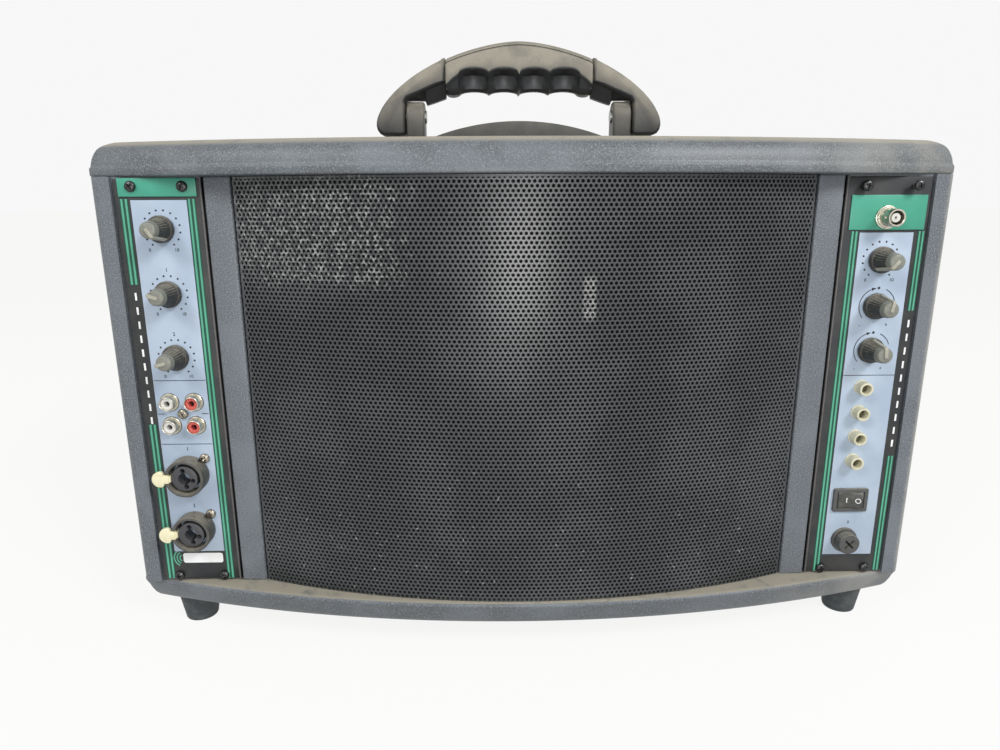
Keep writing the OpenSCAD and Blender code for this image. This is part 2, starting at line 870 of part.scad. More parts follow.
module rocker() {
  w = rocker_open[1] - rocker_side;
  color([0.27, 0.27, 0.26]) on_panel(1, rocker_x, rocker_drop) translate([0, 0, rocker_pivot])
    rotate([90, 0, 0]) rotate([0, 0, rocker_tilt]) {
      translate([0, 0, -w / 2]) linear_extrude(w)
        polygon([[-7.2, 5.4], [0, 3.7], [7.2, 5.4], [6.2, -2.5], [2, -4.5], [-2, -4.5], [-6.2, -2.5]]);
      cylinder(d = rocker_pin[0], h = rocker_pin[1], center = true);
    }
}

module fuse_holder() {
  color([0.24, 0.24, 0.24]) on_panel(1, fuse_x, fuse_drop) difference() {
    union() {
      translate([0, 0, label_t]) cylinder(d = fuse_flange[0], h = fuse_flange[1]);
      translate([0, 0, -panel_t - fuse_body_h]) cylinder(d = fuse_body_d, h = panel_t + fuse_body_h + 1);
    }
    translate([0, 0, -panel_t - fuse_body_h + 2])
      cylinder(d = fuse_body_d - 2 * fuse_wall, h = 2 * fuse_body_h);
  }
}

module fuse_cap() {
  cap_base = label_t + fuse_flange[1] + slip;
  cap_end = cap_base + fuse_cap_h;
  color([0.25, 0.25, 0.25]) on_panel(1, fuse_x, fuse_drop) difference() {
    union() {
      translate([0, 0, cap_base]) cylinder(d = fuse_cap_d, h = fuse_cap_h);
      translate([0, 0, cap_end]) cylinder(d1 = fuse_cap_d, d2 = fuse_cap_d - 1, h = 0.6);
      translate([0, 0, -fuse_stem_h])
        cylinder(d = fuse_body_d - 2 * fuse_wall - 2 * shaft_fit, h = fuse_stem_h + cap_base + 1);
    }
    translate([0, 0, -fuse_stem_h - 1]) cylinder(d = fuse_d + 0.1, h = fuse_stem_h + 3);
    for (a = [45, 135]) rotate([0, 0, a])
      box(span(fuse_slot[0]), span(fuse_slot[1]), [cap_end + 0.6 - fuse_slot[2], cap_end + 1]);
  }
}

module fuse() {
  color("lightcyan") on_panel(1, fuse_x, fuse_drop) translate([0, 0, -panel_t - fuse_body_h + 2 + slip])
    cylinder(d = fuse_d, h = fuse_len);
}

// ---------- inside and back ----------

module receiver_module() {
  y = plate_back + socket_back;
  color("silver") box([slot_x - board_half - 1, slot_x + board_half + 1], [y, y + receiver_d],
    [win_top - 36, win_top - rail_h - 1]);
}

module amplifier_module() {
  color("darkgray") {
    box(amp_x, [back_y - wall - amp_plate, back_y - wall], amp_z);
    for (i = [0:fin_count - 1]) translate([amp_x[0] + 2 + i * fin_pitch, back_y - wall - amp_plate, 0])
      box([0, fin_t], [-fin_d, 0], amp_z);
  }
}

module battery() {
  floor_z = foot_h + floor_t;
  color("dimgray") {
    box([-battery_x, battery_x], battery_y, [floor_z, floor_z + battery_h]);
    for (x = [-60, 60]) translate([x, 50, floor_z + battery_h])
      box(span(terminal[0]), [0, terminal[1]], [0, terminal[2]]);
  }
}

module mains_inlet() {
  color([0.1, 0.1, 0.1]) translate([inlet_x, back_y - 1, inlet_z]) {
    difference() {
      union() {
        box(span(inlet_flange[0]), [0, 1], span(inlet_flange[1]));
        box(span(inlet_body[0]), [-inlet_depth, 0], span(inlet_body[1]));
      }
      box(span(inlet_open[0]), [-inlet_depth + 4, 3], span(inlet_open[1]));
    }
    // the middle pin stands higher than the outer two
    for (i = [-1:1]) translate([i * pin_pitch, 0, i == 0 ? 0 : -pin_h])
      box(span(pin_w), [-inlet_depth + 4, -3], [0, pin_h]);
  }
}

module rear_screws() {
  color("darkgray") for (p = rear_screw_places())
    translate([p[0], back_y - 1, p[1]]) rotate([-90, 0, 0]) pan_screw(0, 6);
}

module each_foot() {
  for (x = [-1, 1], y = foot_y) translate([x * foot_x, y, 0]) children();
}

module feet() {
  color("dimgray") each_foot() difference() {
    cylinder(d1 = foot_low_d, d2 = foot_top_d, h = foot_h);
    translate([0, 0, -1]) cylinder(d = foot_well[0], h = foot_well[1] + 1);
    cylinder(d = foot_bore, h = foot_h + 1);
  }
}

module foot_screws() {
  color("darkgray") each_foot() {
    translate([0, 0, foot_well[1] - foot_screw[2]]) cylinder(d = foot_screw[1], h = foot_screw[2]);
    translate([0, 0, foot_well[1]])
      cylinder(d = foot_screw[0], h = foot_h - foot_well[1] + base_h - crest_drop);
  }
}

// ---------- handle ----------

module handle_base() {
  color([0.3, 0.3, 0.29]) difference() {
    union() {
      translate([0, dome_d / 2, cap_top]) rotate([90, 0, 0]) linear_extrude(dome_d) intersection() {
        translate([0, dome_h - dome_r]) circle(dome_r, $fn = 360);
        translate([-handle_w / 2, 0]) square([handle_w, 2 * dome_h]);
      }
      mirrored() translate([lug_x, 0, pivot_z]) rotate([0, 90, 0]) {
        cylinder(d = dome_d, h = lug_w);
        translate([0, -dome_d / 2, 0]) cube([pivot_h, dome_d, lug_w]);
      }
    }
    mirrored() translate([lug_x - lug_floor, 0, pivot_z]) rotate([0, 90, 0])
      cylinder(d = pin_d + 2 * eps, h = pin_reach);
  }
}

module handle_pins() {
  color("darkgray") mirrored() translate([lug_x - lug_floor, 0, pivot_z]) rotate([0, 90, 0])
    cylinder(d = pin_d, h = pin_reach);
}

// side view of the handle's arch, over the whole width
module arch() {
  difference() {
    polygon([for (i = [-30:30]) let (x = handle_w / 2 * sin(3 * i)) [x, arch_z(x)]]);
    translate([-arm_in, 0]) square([2 * arm_in, grip_low]);
  }
}

// height of the arch's outline above the cap, a flattened oval that ends at arch_foot
function arch_z(x) = arch_foot + (handle_h - arch_foot)
  * pow(1 - pow(min(1, abs(x) / (handle_w / 2)), arch_power), 1 / arch_power);

module handle_arms() {
  eye_r = grip_d / 2 - 1;
  color([0.25, 0.25, 0.24]) mirrored() difference() {
    union() {
      intersection() {
        translate([0, eye_r, cap_top]) rotate([90, 0, 0]) linear_extrude(2 * eye_r) arch();
        box([grip_half + seam, handle_w], span(2 * grip_d), [cap_top, cap_top + 2 * handle_h]);
      }
      translate([arm_in, 0, pivot_z]) rotate([0, 90, 0]) cylinder(r = eye_r, h = arm_eye);
      translate([grip_half - spigot_in, 0, spigot_z]) rotate([0, 90, 0])
        cylinder(d = spigot_d, h = spigot_in + 4);
    }
    translate([arm_in - 1, 0, pivot_z]) rotate([0, 90, 0])
      cylinder(d = pin_d + 2 * pin_fit, h = pin_reach - lug_w);
  }
}

// one half of the grip, in front of its seam or behind it
module grip_half_shell(side) {
  y = side < 0 ? [-grip_d / 2, -seam / 2] : [seam / 2, grip_d / 2];
  color([0.16, 0.16, 0.16]) difference() {
    intersection() {
      translate([0, grip_d / 2, cap_top]) rotate([90, 0, 0]) linear_extrude(grip_d) arch();
      box([-grip_half, grip_half], y, [cap_top, cap_top + 2 * handle_h]);
    }
    // finger grooves
    for (i = [-2:2]) translate([i * finger_pitch, 0, cap_top + grip_low - finger_r + finger_rise])
      rotate([90, 0, 0]) cylinder(r = finger_r, h = 2 * grip_d, center = true);
    translate([0, 0, spigot_z]) rotate([0, 90, 0])
      cylinder(d = spigot_d + 2 * eps, h = handle_w, center = true);
  }
}

module grip_front() { grip_half_shell(-1); }

module grip_rear() { grip_half_shell(1); }

bottom_base();
cabinet_shell();
top_cap();
rear_panel();
posts();
baffle_board();
grille();
grille_foam();
woofer_frame();
woofer_magnet();
woofer_cone();
tweeter();
left_panel();
right_panel();
left_label();
right_label();
left_header();
right_header();
panel_screws();
potentiometers();
control_boards();
rca_block();
rca_shells();
rca_inserts();
combo_jack_collars();
combo_jack_inserts();
jack_tab(0);  // jack_tab_1
jack_tab(1);  // jack_tab_2
bnc_socket();
led_holders();
leds();
rocker_housing();
rocker();
fuse_holder();
fuse_cap();
fuse();
receiver_module();
amplifier_module();
battery();
mains_inlet();
rear_screws();
feet();
foot_screws();
handle_base();
handle_pins();
handle_arms();
grip_front();
grip_rear();
knob(0);  // aux_knob
knob(1);  // mic_1_knob
knob(2);  // mic_2_knob
knob(3);  // wireless_knob
knob(4);  // bass_knob
knob(5);  // treble_knob
knob_tip(0);  // aux_tip
knob_tip(1);  // mic_1_tip
knob_tip(2);  // mic_2_tip
knob_tip(3);  // wireless_tip
knob_tip(4);  // bass_tip
knob_tip(5);  // treble_tip
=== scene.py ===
import math

import bpy
from mathutils import Matrix, Vector


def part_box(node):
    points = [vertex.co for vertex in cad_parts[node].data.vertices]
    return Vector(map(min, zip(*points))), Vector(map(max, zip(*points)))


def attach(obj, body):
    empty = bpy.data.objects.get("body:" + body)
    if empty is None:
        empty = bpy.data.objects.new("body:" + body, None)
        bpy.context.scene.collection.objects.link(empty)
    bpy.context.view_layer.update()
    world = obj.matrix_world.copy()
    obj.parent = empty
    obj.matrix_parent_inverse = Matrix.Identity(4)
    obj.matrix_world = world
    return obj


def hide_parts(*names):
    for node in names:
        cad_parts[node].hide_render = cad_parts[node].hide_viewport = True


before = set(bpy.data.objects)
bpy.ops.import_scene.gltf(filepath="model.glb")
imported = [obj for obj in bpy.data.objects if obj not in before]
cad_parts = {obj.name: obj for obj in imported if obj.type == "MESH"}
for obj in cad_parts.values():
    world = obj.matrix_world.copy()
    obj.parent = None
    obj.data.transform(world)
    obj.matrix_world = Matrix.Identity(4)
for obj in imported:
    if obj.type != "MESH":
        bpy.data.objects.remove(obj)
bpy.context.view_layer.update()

MM = 0.001
TAU = 2 * math.pi
HERE = Matrix.Identity(4)
TO_FRONT = Matrix(((1, 0, 0), (0, 0, -1), (0, 1, 0))).to_4x4()      # local y up, z towards the viewer
TO_SIDE = Matrix(((0, 0, 1), (1, 0, 0), (0, 1, 0))).to_4x4()        # local x back, y up, z to the right


def spun(angle, axis="Z"):
    """A turn in degrees."""
    return Matrix.Rotation(math.radians(angle), 4, axis)


def raised(height):
    """A shift along local z, in millimetres."""
    return Matrix.Translation((0, 0, height * MM))


# ---------- camera ----------

EYE = Vector((-0.0207, -0.495, 0.2616))
TILT_DOWN = math.radians(13.946)
TURN_RIGHT = math.radians(0.893)
ROLL = math.radians(0.229)
SENSOR_W, LENS = 36, 25.22


def add_camera():
    data = bpy.data.cameras.new("camera")
    data.sensor_width, data.lens = SENSOR_W, LENS
    camera = bpy.data.objects.new("camera", data)
    bpy.context.scene.collection.objects.link(camera)
    level = Matrix.Rotation(-TURN_RIGHT, 4, "Z") @ Matrix.Rotation(math.pi / 2 - TILT_DOWN, 4, "X")
    camera.matrix_world = Matrix.Translation(EYE) @ level @ Matrix.Rotation(-ROLL, 4, "Z")
    bpy.context.scene.camera = camera


add_camera()


# ---------- sizes taken from the frame ----------

def low(node):
    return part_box(node)[0]


def high(node):
    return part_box(node)[1]


def middle(node):
    lo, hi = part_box(node)
    return [(a + b) / 2 for a, b in zip(lo, hi)]


BASE_TOP = low("cabinet_shell")[2]
WIN_TOP = high("cabinet_shell")[2]
CAP_TOP = high("top_cap")[2]
FOOT_TOP = low("bottom_base")[2]
PANEL_Y = low("cabinet_shell")[1]
LIP_X = high("top_cap")[0]
FRONT_Y = low("top_cap")[1]
REAR_Y = high("top_cap")[1]
FACE_Y = low("left_panel")[1]
TONGUE, POST_W, POST_DEPTH, PLATE_W = 3 * MM, 14.4 * MM, 9 * MM, 47.2 * MM
POST_OUT = high("posts")[0] - TONGUE
POST_IN = POST_OUT - POST_W
PLATE_IN = high("right_panel")[0] - PLATE_W
GRILLE_SIDE = high("grille")[0]
GAP = 0.3 * MM


def panel_place(x, z, out=0.0):
    """A place on the front face: local x to the right, y up, z out towards the viewer."""
    return Matrix.Translation((x, FACE_Y - out, z)) @ TO_FRONT


def on_node(node, out=0.0):
    x, _, z = middle(node)
    return panel_place(x, z, out)


# ---------- modelling helpers, all sizes in millimetres ----------

def deselect():
    bpy.ops.object.select_all(action="DESELECT")


def activate(piece):
    deselect()
    piece.select_set(True)
    bpy.context.view_layer.objects.active = piece


def fresh(name):
    piece = bpy.context.object
    piece.name = name
    piece.data.name = name
    return piece


def edit(piece):
    activate(piece)
    bpy.ops.object.mode_set(mode="EDIT")
    bpy.ops.mesh.select_mode(type="VERT")
    bpy.ops.mesh.select_all(action="SELECT")


def leave():
    bpy.ops.object.mode_set(mode="OBJECT")


def tidy(piece):
    """Merge doubles and point all faces outwards."""
    edit(piece)
    bpy.ops.mesh.remove_doubles(threshold=1e-6)
    bpy.ops.mesh.normals_make_consistent(inside=False)
    leave()
    return piece


def move(piece, place):
    piece.data.transform(place)
    piece.data.update()
    return piece


def smooth(piece, angle=35):
    activate(piece)
    bpy.ops.object.shade_smooth_by_angle(angle=math.radians(angle))
    return piece


def apply_modifier(piece, kind, **settings):
    activate(piece)
    modifier = piece.modifiers.new(kind.lower(), kind)
    for key, value in settings.items():
        setattr(modifier, key, value)
    bpy.ops.object.modifier_apply(modifier=modifier.name)
    return piece


def soften(piece, width, segments=3, angle=30):
    """Round the sharp edges of a piece."""
    return apply_modifier(piece, "BEVEL", width=width * MM, segments=segments, limit_method="ANGLE",
                          angle_limit=math.radians(angle), use_clamp_overlap=True, harden_normals=False)


def cut(piece, *cutters):
    for cutter in cutters:
        apply_modifier(piece, "BOOLEAN", operation="DIFFERENCE", object=cutter, solver="EXACT")
        discard(cutter)
    return piece


def joined(name, pieces):
    deselect()
    for piece in pieces:
        piece.select_set(True)
    bpy.context.view_layer.objects.active = pieces[0]
    if len(pieces) > 1:
        bpy.ops.object.join()
    return fresh(name)


def copied(piece, name, place):
    twin = piece.copy()
    twin.data = piece.data.copy()
    twin.name = name
    twin.data.name = name
    bpy.context.scene.collection.objects.link(twin)
    return move(twin, place)


def placed(master, name, place, finish, body="cabinet", replaces=()):
    """A finished copy of a master piece."""
    return finish_piece(copied(master, name, place), finish, body, replaces)


def discard(*pieces):
    for piece in pieces:
        bpy.data.objects.remove(piece, do_unlink=True)


def block(name, x, y, z, round_off=0.0, segments=3):
    """A box between two corners, in metres, with its edges rounded."""
    bpy.ops.mesh.primitive_cube_add(size=1)
    piece = fresh(name)
    size = Matrix.Diagonal((x[1] - x[0], y[1] - y[0], z[1] - z[0], 1))
    move(piece, Matrix.Translation(((x[0] + x[1]) / 2, (y[0] + y[1]) / 2, (z[0] + z[1]) / 2)) @ size)
    if round_off:
        soften(piece, round_off, segments)
    return piece


def slab(name, x, y, z, place, round_off=0.0, segments=3):
    """A box in a place's own axes, in millimetres."""
    spans = [[value * MM for value in span] for span in (x, y, z)]
    return move(block(name, *spans, round_off=round_off, segments=segments), place)


def turned(name, profile, place, sides=48, angle=35):
    """A lathe-turned piece. The profile's (radius, height) points run from low to high on its outside."""
    bpy.ops.mesh.primitive_plane_add(size=MM)
    piece = fresh(name)
    edit(piece)
    bpy.ops.mesh.merge(type="CENTER")
    steps = [Vector((r * MM, 0, h * MM)) for r, h in profile]
    bpy.ops.transform.translate(value=steps[0])
    for last, step in zip(steps, steps[1:]):
        bpy.ops.mesh.extrude_region_move(TRANSFORM_OT_translate={"value": step - last})
    bpy.ops.mesh.select_all(action="SELECT")
    bpy.ops.mesh.spin(steps=sides, angle=TAU, center=(0, 0, 0), axis=(0, 0, 1))
    leave()
    tidy(piece)
    move(piece, place)
    return smooth(piece, angle)


def ring_profile(outer, inner, bottom, top, edge=0.3):
    """The closed profile of a tube with eased mouths."""
    return [(inner, bottom), (outer, bottom), (outer, top - edge), (outer - 0.3 * edge, top - 0.3 * edge),
            (outer - edge, top), (inner + edge, top), (inner + 0.3 * edge, top - 0.3 * edge),
            (inner, top - edge), (inner, bottom)]


def outlined(name, points, depth, place, round_off=0.0, segments=3, angle=35):
    """A flat outline in millimetres, extruded along the place's z."""
    bpy.ops.mesh.primitive_circle_add(vertices=len(points), radius=1, fill_type="NGON")
    piece = fresh(name)
    for vertex, point in zip(piece.data.vertices, points):
        vertex.co = (point[0] * MM, point[1] * MM, 0)
    edit(piece)
    bpy.ops.mesh.extrude_region_move(TRANSFORM_OT_translate={"value": (0, 0, depth * MM)})
    leave()
    tidy(piece)
    if round_off:
        soften(piece, round_off, segments)
    move(piece, place)
    return smooth(piece, angle)


def lofted(name, rings, place=HERE, angle=35):
    """A skin through rings with the same number of points, in metres, its ends filled."""
    count = len(rings[0])
    bpy.ops.mesh.primitive_grid_add(x_subdivisions=count, y_subdivisions=len(rings) - 1, size=1)
    piece = fresh(name)
    for number, vertex in enumerate(piece.data.vertices):
        vertex.co = rings[number // (count + 1)][number % (count + 1) % count]
    edit(piece)
    bpy.ops.mesh.remove_doubles(threshold=1e-7)
    bpy.ops.mesh.select_all(action="DESELECT")
    bpy.ops.mesh.select_non_manifold(extend=False)
    bpy.ops.mesh.fill_holes(sides=0)
    bpy.ops.mesh.select_all(action="SELECT")
    bpy.ops.mesh.normals_make_consistent(inside=False)
    leave()
    move(piece, place)
    return smooth(piece, angle)


def arc(cx, cy, radius, start, end, steps):
    """Points on an arc, angles in degrees."""
    return [(cx + radius * math.cos(math.radians(start + (end - start) * i / steps)),
             cy + radius * math.sin(math.radians(start + (end - start) * i / steps)))
            for i in range(steps + 1)]


def rounded(w, h, r, steps=5):
    """A rectangle with round corners, centred."""
    x, y = w / 2 - r, h / 2 - r
    return (arc(x, y, r, 0, 90, steps) + arc(-x, y, r, 90, 180, steps)
            + arc(-x, -y, r, 180, 270, steps) + arc(x, -y, r, 270, 360, steps))


def finish_piece(piece, finish, body="cabinet", replaces=()):
    """Give a piece the finish of that name and its place in the frame."""
    piece.data.materials.clear()
    piece.data.materials.append(MATERIALS[finish])
    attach(piece, body)
    if replaces:
        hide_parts(*replaces)
    return piece


# ---------- shader maths ----------

class Value:
    """A shader socket that Python's own operators work on."""

    def __init__(self, paint, socket):
        self.paint, self.socket = paint, socket

    def _maths(self, operation, *others, swapped=False):
        terms = (*others, self) if swapped else (self, *others)
        return self.paint.node("ShaderNodeMath", {"operation": operation}, *terms)

    def __add__(self, other): return self._maths("ADD", other)
    __radd__ = __add__
    def __mul__(self, other): return self._maths("MULTIPLY", other)
    __rmul__ = __mul__
    def __sub__(self, other): return self._maths("SUBTRACT", other)
    def __rsub__(self, other): return self._maths("SUBTRACT", other, swapped=True)
    def __truediv__(self, other): return self._maths("DIVIDE", other)
    def __abs__(self): return self._maths("ABSOLUTE")
    def __or__(self, other): return self._maths("MAXIMUM", other)


class Paint:
    """One node-built material."""

    def __init__(self, name, roughness=0.5, metallic=0.0):
        self.material = bpy.data.materials.new(name)
        self.material.use_nodes = True
        self.tree = self.material.node_tree
        self.shader = self.tree.nodes["Principled BSDF"]
        self.shader.inputs["Roughness"].default_value = roughness
        self.shader.inputs["Metallic"].default_value = metallic
        where = self.tree.nodes.new("ShaderNodeTexCoord")
        self.place = Value(self, where.outputs["Object"])
        self.facing = Value(self, where.outputs["Normal"])

    def node(self, kind, settings, *inputs, output=0, **named):
        """Adds a node: its settings first, then its inputs in order and by name."""
        made = self.tree.nodes.new(kind)
        for key, value in settings.items():
            setattr(made, key, value)
        for number, value in enumerate(inputs):
            self._feed(made.inputs[number], value)
        for key, value in named.items():
            self._feed(made.inputs[key], value)
        return Value(self, made.outputs[output])

    def _feed(self, socket, value):
        if isinstance(value, Value):
            self.tree.links.new(value.socket, socket)
        else:
            socket.default_value = value

    def xyz(self, source=None):
        made = self.tree.nodes.new("ShaderNodeSeparateXYZ")
        self._feed(made.inputs[0], source or self.place)
        return [Value(self, out) for out in made.outputs]

    def noise(self, size, detail=3.0, roughness=0.6, stretch=(1, 1, 1), seed=0.0):
        """Noise whose features are about size millimetres."""
        where = self.node("ShaderNodeMapping", {}, Vector=self.place, Scale=stretch,
                          Location=(seed, seed * 0.7, seed * 0.3))
        return self.node("ShaderNodeTexNoise", {}, Vector=where, Scale=1 / (size * MM), Detail=detail,
                         Roughness=roughness)

    def cells(self, size):
        return self.node("ShaderNodeTexVoronoi", {}, Vector=self.place, Scale=1 / (size * MM))

    def step(self, value, start, end):
        """0 below start, 1 above end, smooth between; the other way round when start is above end."""
        if start > end:
            return 1 - self.step(value, end, start)
        return self.node("ShaderNodeMapRange", {"interpolation_type": "SMOOTHSTEP"}, value,
                         start, end, 0.0, 1.0)

    def mix(self, under, over, amount):
        """The colour under, covered by the colour over where amount is 1."""
        made = self.tree.nodes.new("ShaderNodeMix")
        made.data_type = "RGBA"
        self._feed(made.inputs[0], amount)
        self._feed(made.inputs[6], under if isinstance(under, Value) else tint(under))
        self._feed(made.inputs[7], over if isinstance(over, Value) else tint(over))
        return Value(self, made.outputs[2])

    def upward(self, start=0.3, end=0.9):
        """1 on faces that look up."""
        return self.step(self.xyz(self.facing)[2], start, end)

    def bump(self, height, depth=0.1, strength=0.5):
        """Raises the surface by height times depth in millimetres."""
        bent = self.node("ShaderNodeBump", {}, Strength=strength, Distance=depth * MM, Height=height)
        self.tree.links.new(bent.socket, self.shader.inputs["Normal"])

    def set(self, **values):
        for key, value in values.items():
            self._feed(self.shader.inputs[key.replace("_", " ")], value)
        return self.material


def tint(code):
    """A colour written as hexadecimal, as linear light."""
    if not isinstance(code, str):
        return code
    parts = [int(code[i:i + 2], 16) / 255 for i in (0, 2, 4)]
    return [c / 12.92 if c <= 0.04045 else ((c + 0.055) / 1.055) ** 2.4 for c in parts] + [1.0]


DUST = "a29c8c"


def speckled_moulding(name, base="6a6f74", light="b3b9bd", dark="383c40", dust=0.7, lit_side=None):
    """Spattered grey paint with dust lying on what faces up and rubbed marks, and on one side a painted paler
    band where light falls.
    """
    p = Paint(name, roughness=0.5)
    grain = p.noise(0.75, 2.0, 0.6)
    broad = p.noise(38, 3.0, 0.55, seed=3.1)
    flecks = p.step(grain, 0.54, 0.66)
    pits = p.step(grain, 0.46, 0.34)
    color = p.mix(p.mix(base, light, flecks * 0.6), dark, pits * 0.6)
    color = p.mix(color, "7d838a", p.step(broad, 0.42, 0.66) * 0.4)
    settled = p.upward(0.72, 0.97) * p.step(p.noise(9, 4.0, 0.6, seed=7.7), 0.1, 0.5) * dust
    color = p.mix(color, DUST, settled)
    # painted light: a paler band on the front towards the right, standing in for light falling from that side
    if lit_side:
        inner, outer, amount = lit_side
        front = p.step(p.xyz()[1], PANEL_Y + 0.03, PANEL_Y) * p.step(broad, 0.2, 0.6)
        color = p.mix(color, "aeaba0", p.step(p.xyz()[0], inner, outer) * front * amount)
    scuffs = p.step(p.noise(2.2, 5.0, 0.75, (1, 1, 0.35), seed=11), 0.69, 0.75)
    color = p.mix(color, "b9b6ad", scuffs * 0.5)
    p.bump(grain, 0.12, 0.55)
    return p.set(Base_Color=color, Roughness=0.42 + 0.25 * settled + 0.12 * flecks)


def perforated_steel():
    """Black paint on steel, with a chalky scraped patch and small chips."""
    p = Paint("grille_paint")
    x, _, z = p.xyz()
    height = (z - BASE_TOP) / (WIN_TOP - BASE_TOP)
    fine = p.noise(1.6, 4.0, 0.7)
    streak = p.noise(7, 4.0, 0.7, (1, 1, 0.45), seed=5)
    patch_x = p.step(abs(x + 0.113) + (streak - 0.5) * 0.05, 0.052, 0.036)
    patch_z = p.step(abs(z - (WIN_TOP - 0.029)) + (p.noise(14, 3.0) - 0.5) * 0.03, 0.034, 0.02)
    patch = patch_x * patch_z * p.step(p.noise(2.6, 5.0, 0.75, seed=9), 0.47, 0.6)
    low_chips = p.step(p.noise(3.5, 3.0, 0.6, seed=21), 0.665, 0.7) * p.step(height, 0.55, 0.05)
    mark_x = p.step(abs(x - 0.032), 0.0045, 0.002)
    mark_z = p.step(abs(z - (WIN_TOP - 0.063)) + (fine - 0.5) * 0.01, 0.014, 0.008)
    chips = p.step(p.noise(2.4, 3.0, 0.6, seed=33), 0.72, 0.75)
    wear = (patch * 0.5) | (low_chips * 0.5) | (mark_x * mark_z * 0.4) | (chips * 0.45)
    mottle = p.step(p.noise(45, 2.0), 0.4, 0.65) * 0.6 + p.step(fine, 0.4, 0.7) * 0.4
    color = p.mix("393b3d", "4f5153", mottle)
    color = p.mix(color, "d3d4d0", wear * p.step(fine, 0.3, 0.6))
    p.bump(fine, 0.05, 0.3)
    return p.set(Base_Color=color, Roughness=0.3 + 0.4 * wear)


def satin_black(name, base="26292b", light="34373a", dust=0.25, roughness=0.45, grain_size=0.5):
    p = Paint(name, roughness=roughness)
    grain = p.noise(grain_size, 2.0, 0.6)
    broad = p.noise(18, 4.0, 0.6, seed=2)
    color = p.mix(base, light, p.step(grain, 0.45, 0.7) * 0.5 + p.step(broad, 0.45, 0.7) * 0.3)
    film = p.step(broad, 0.35, 0.75) * dust
    settled = film | (p.upward(0.3, 0.9) * p.step(p.noise(5, 3.0, seed=9), 0.25, 0.6) * min(1.0, dust * 2.6))
    color = p.mix(color, "857f70", settled)
    p.bump(grain, 0.04, 0.35)
    return p.set(Base_Color=color, Roughness=roughness + 0.25 * settled)


def printed_foil(name, base, light, smudge):
    """Smooth printed foil with faint mottling and grime."""
    p = Paint(name, roughness=0.38)
    broad = p.noise(26, 3.0, 0.5, seed=4)
    fine = p.noise(0.6, 2.0)
    color = p.mix(base, light, p.step(broad, 0.35, 0.7))
    grime = p.step(p.noise(4.5, 5.0, 0.7, seed=13), 0.6, 0.74)
    color = p.mix(color, smudge, grime * 0.28)
    color = p.mix(color, smudge, p.step(fine, 0.5, 0.8) * 0.1)
    p.bump(fine, 0.01, 0.2)
    return p.set(Base_Color=color, Roughness=0.34 + 0.2 * grime)


def moulded(name, base, light, shade, roughness=0.42, dust=0.0):
    """Coloured moulded plastic, greyed by handling."""
    p = Paint(name, roughness=roughness)
    fine = p.noise(0.5, 3.0)
    broad = p.noise(3.2, 4.0, 0.65, seed=6)
    color = p.mix(base, light, p.step(fine, 0.4, 0.7) * 0.5)
    color = p.mix(color, shade, p.step(broad, 0.46, 0.72) * 0.45)
    settled = p.upward(0.2, 0.9) * p.step(broad, 0.2, 0.55) * dust
    color = p.mix(color, DUST, settled)
    p.bump(fine, 0.02, 0.3)
    return p.set(Base_Color=color, Roughness=roughness + 0.2 * settled)


def plated(name, base, tarnish, roughness=0.22):
    """Plated metal, tarnished in patches and finely scratched."""
    p = Paint(name, roughness=roughness, metallic=1.0)
    patches = p.step(p.noise(2.6, 4.0, 0.65, seed=8), 0.45, 0.7)
    lines = p.noise(0.5, 2.0, 0.6, (1, 1, 6))
    color = p.mix(base, tarnish, patches * 0.75)
    p.bump(lines, 0.01, 0.25)
    return p.set(Base_Color=color, Roughness=roughness + 0.22 * patches + 0.06 * lines,
                 Metallic=1.0 - 0.15 * patches)


def worn_rubber():
    p = Paint("foot_rubber", roughness=0.75)
    broad = p.noise(6, 4.0, 0.6)
    color = p.mix("3c4144", "565b5c", p.step(broad, 0.35, 0.7))
    color = p.mix(color, "7d7a70", p.upward(0.1, 0.8) * 0.6 + p.step(p.noise(1.2), 0.62, 0.75) * 0.25)
    p.bump(p.noise(0.7), 0.06, 0.4)
    return p.set(Base_Color=color, Roughness=0.7 + 0.15 * broad)


def handle_skin(name, low=0.006, high=0.05, scooped=False):
    """Grained black plastic under a film of dust: thick on top and in front, none underneath; its thinning
    low down is painted shade cast by the cap's top edge.
    """
    p = Paint(name, roughness=0.5)
    grain = p.cells(0.55)
    broad = p.noise(11, 4.0, 0.6, seed=12)
    color = p.mix("202326", "2e3133", p.step(grain, 0.2, 0.7) * 0.5)
    # painted shade: the film thins towards the cap, standing in for the shadow of the cap's top edge
    rise = p.step(p.xyz()[2], CAP_TOP + low, CAP_TOP + high)
    film = p.upward(-0.3, 0.1) * (0.12 + 0.75 * rise) * (0.65 + 0.35 * p.step(broad, 0.3, 0.62))
    if scooped:
        film = film * p.step(abs(p.xyz()[1]), 0.0088, 0.0108)
    film = film | (p.upward(0.25, 0.9) * 0.75)
    color = p.mix(color, "a09a8c", film)
    p.bump(grain, 0.05, 0.4)
    return p.set(Base_Color=color, Roughness=0.4 + 0.35 * film)


def plain_inside(name, base, light, roughness=0.6, metallic=0.0, size=4):
    """Finish of a piece that is mostly hidden: mottled, with a fine grain."""
    p = Paint(name, roughness=roughness, metallic=metallic)
    broad = p.noise(size, 4.0, 0.6)
    p.bump(p.noise(0.6), 0.03, 0.3)
    return p.set(Base_Color=p.mix(base, light, p.step(broad, 0.35, 0.65)))


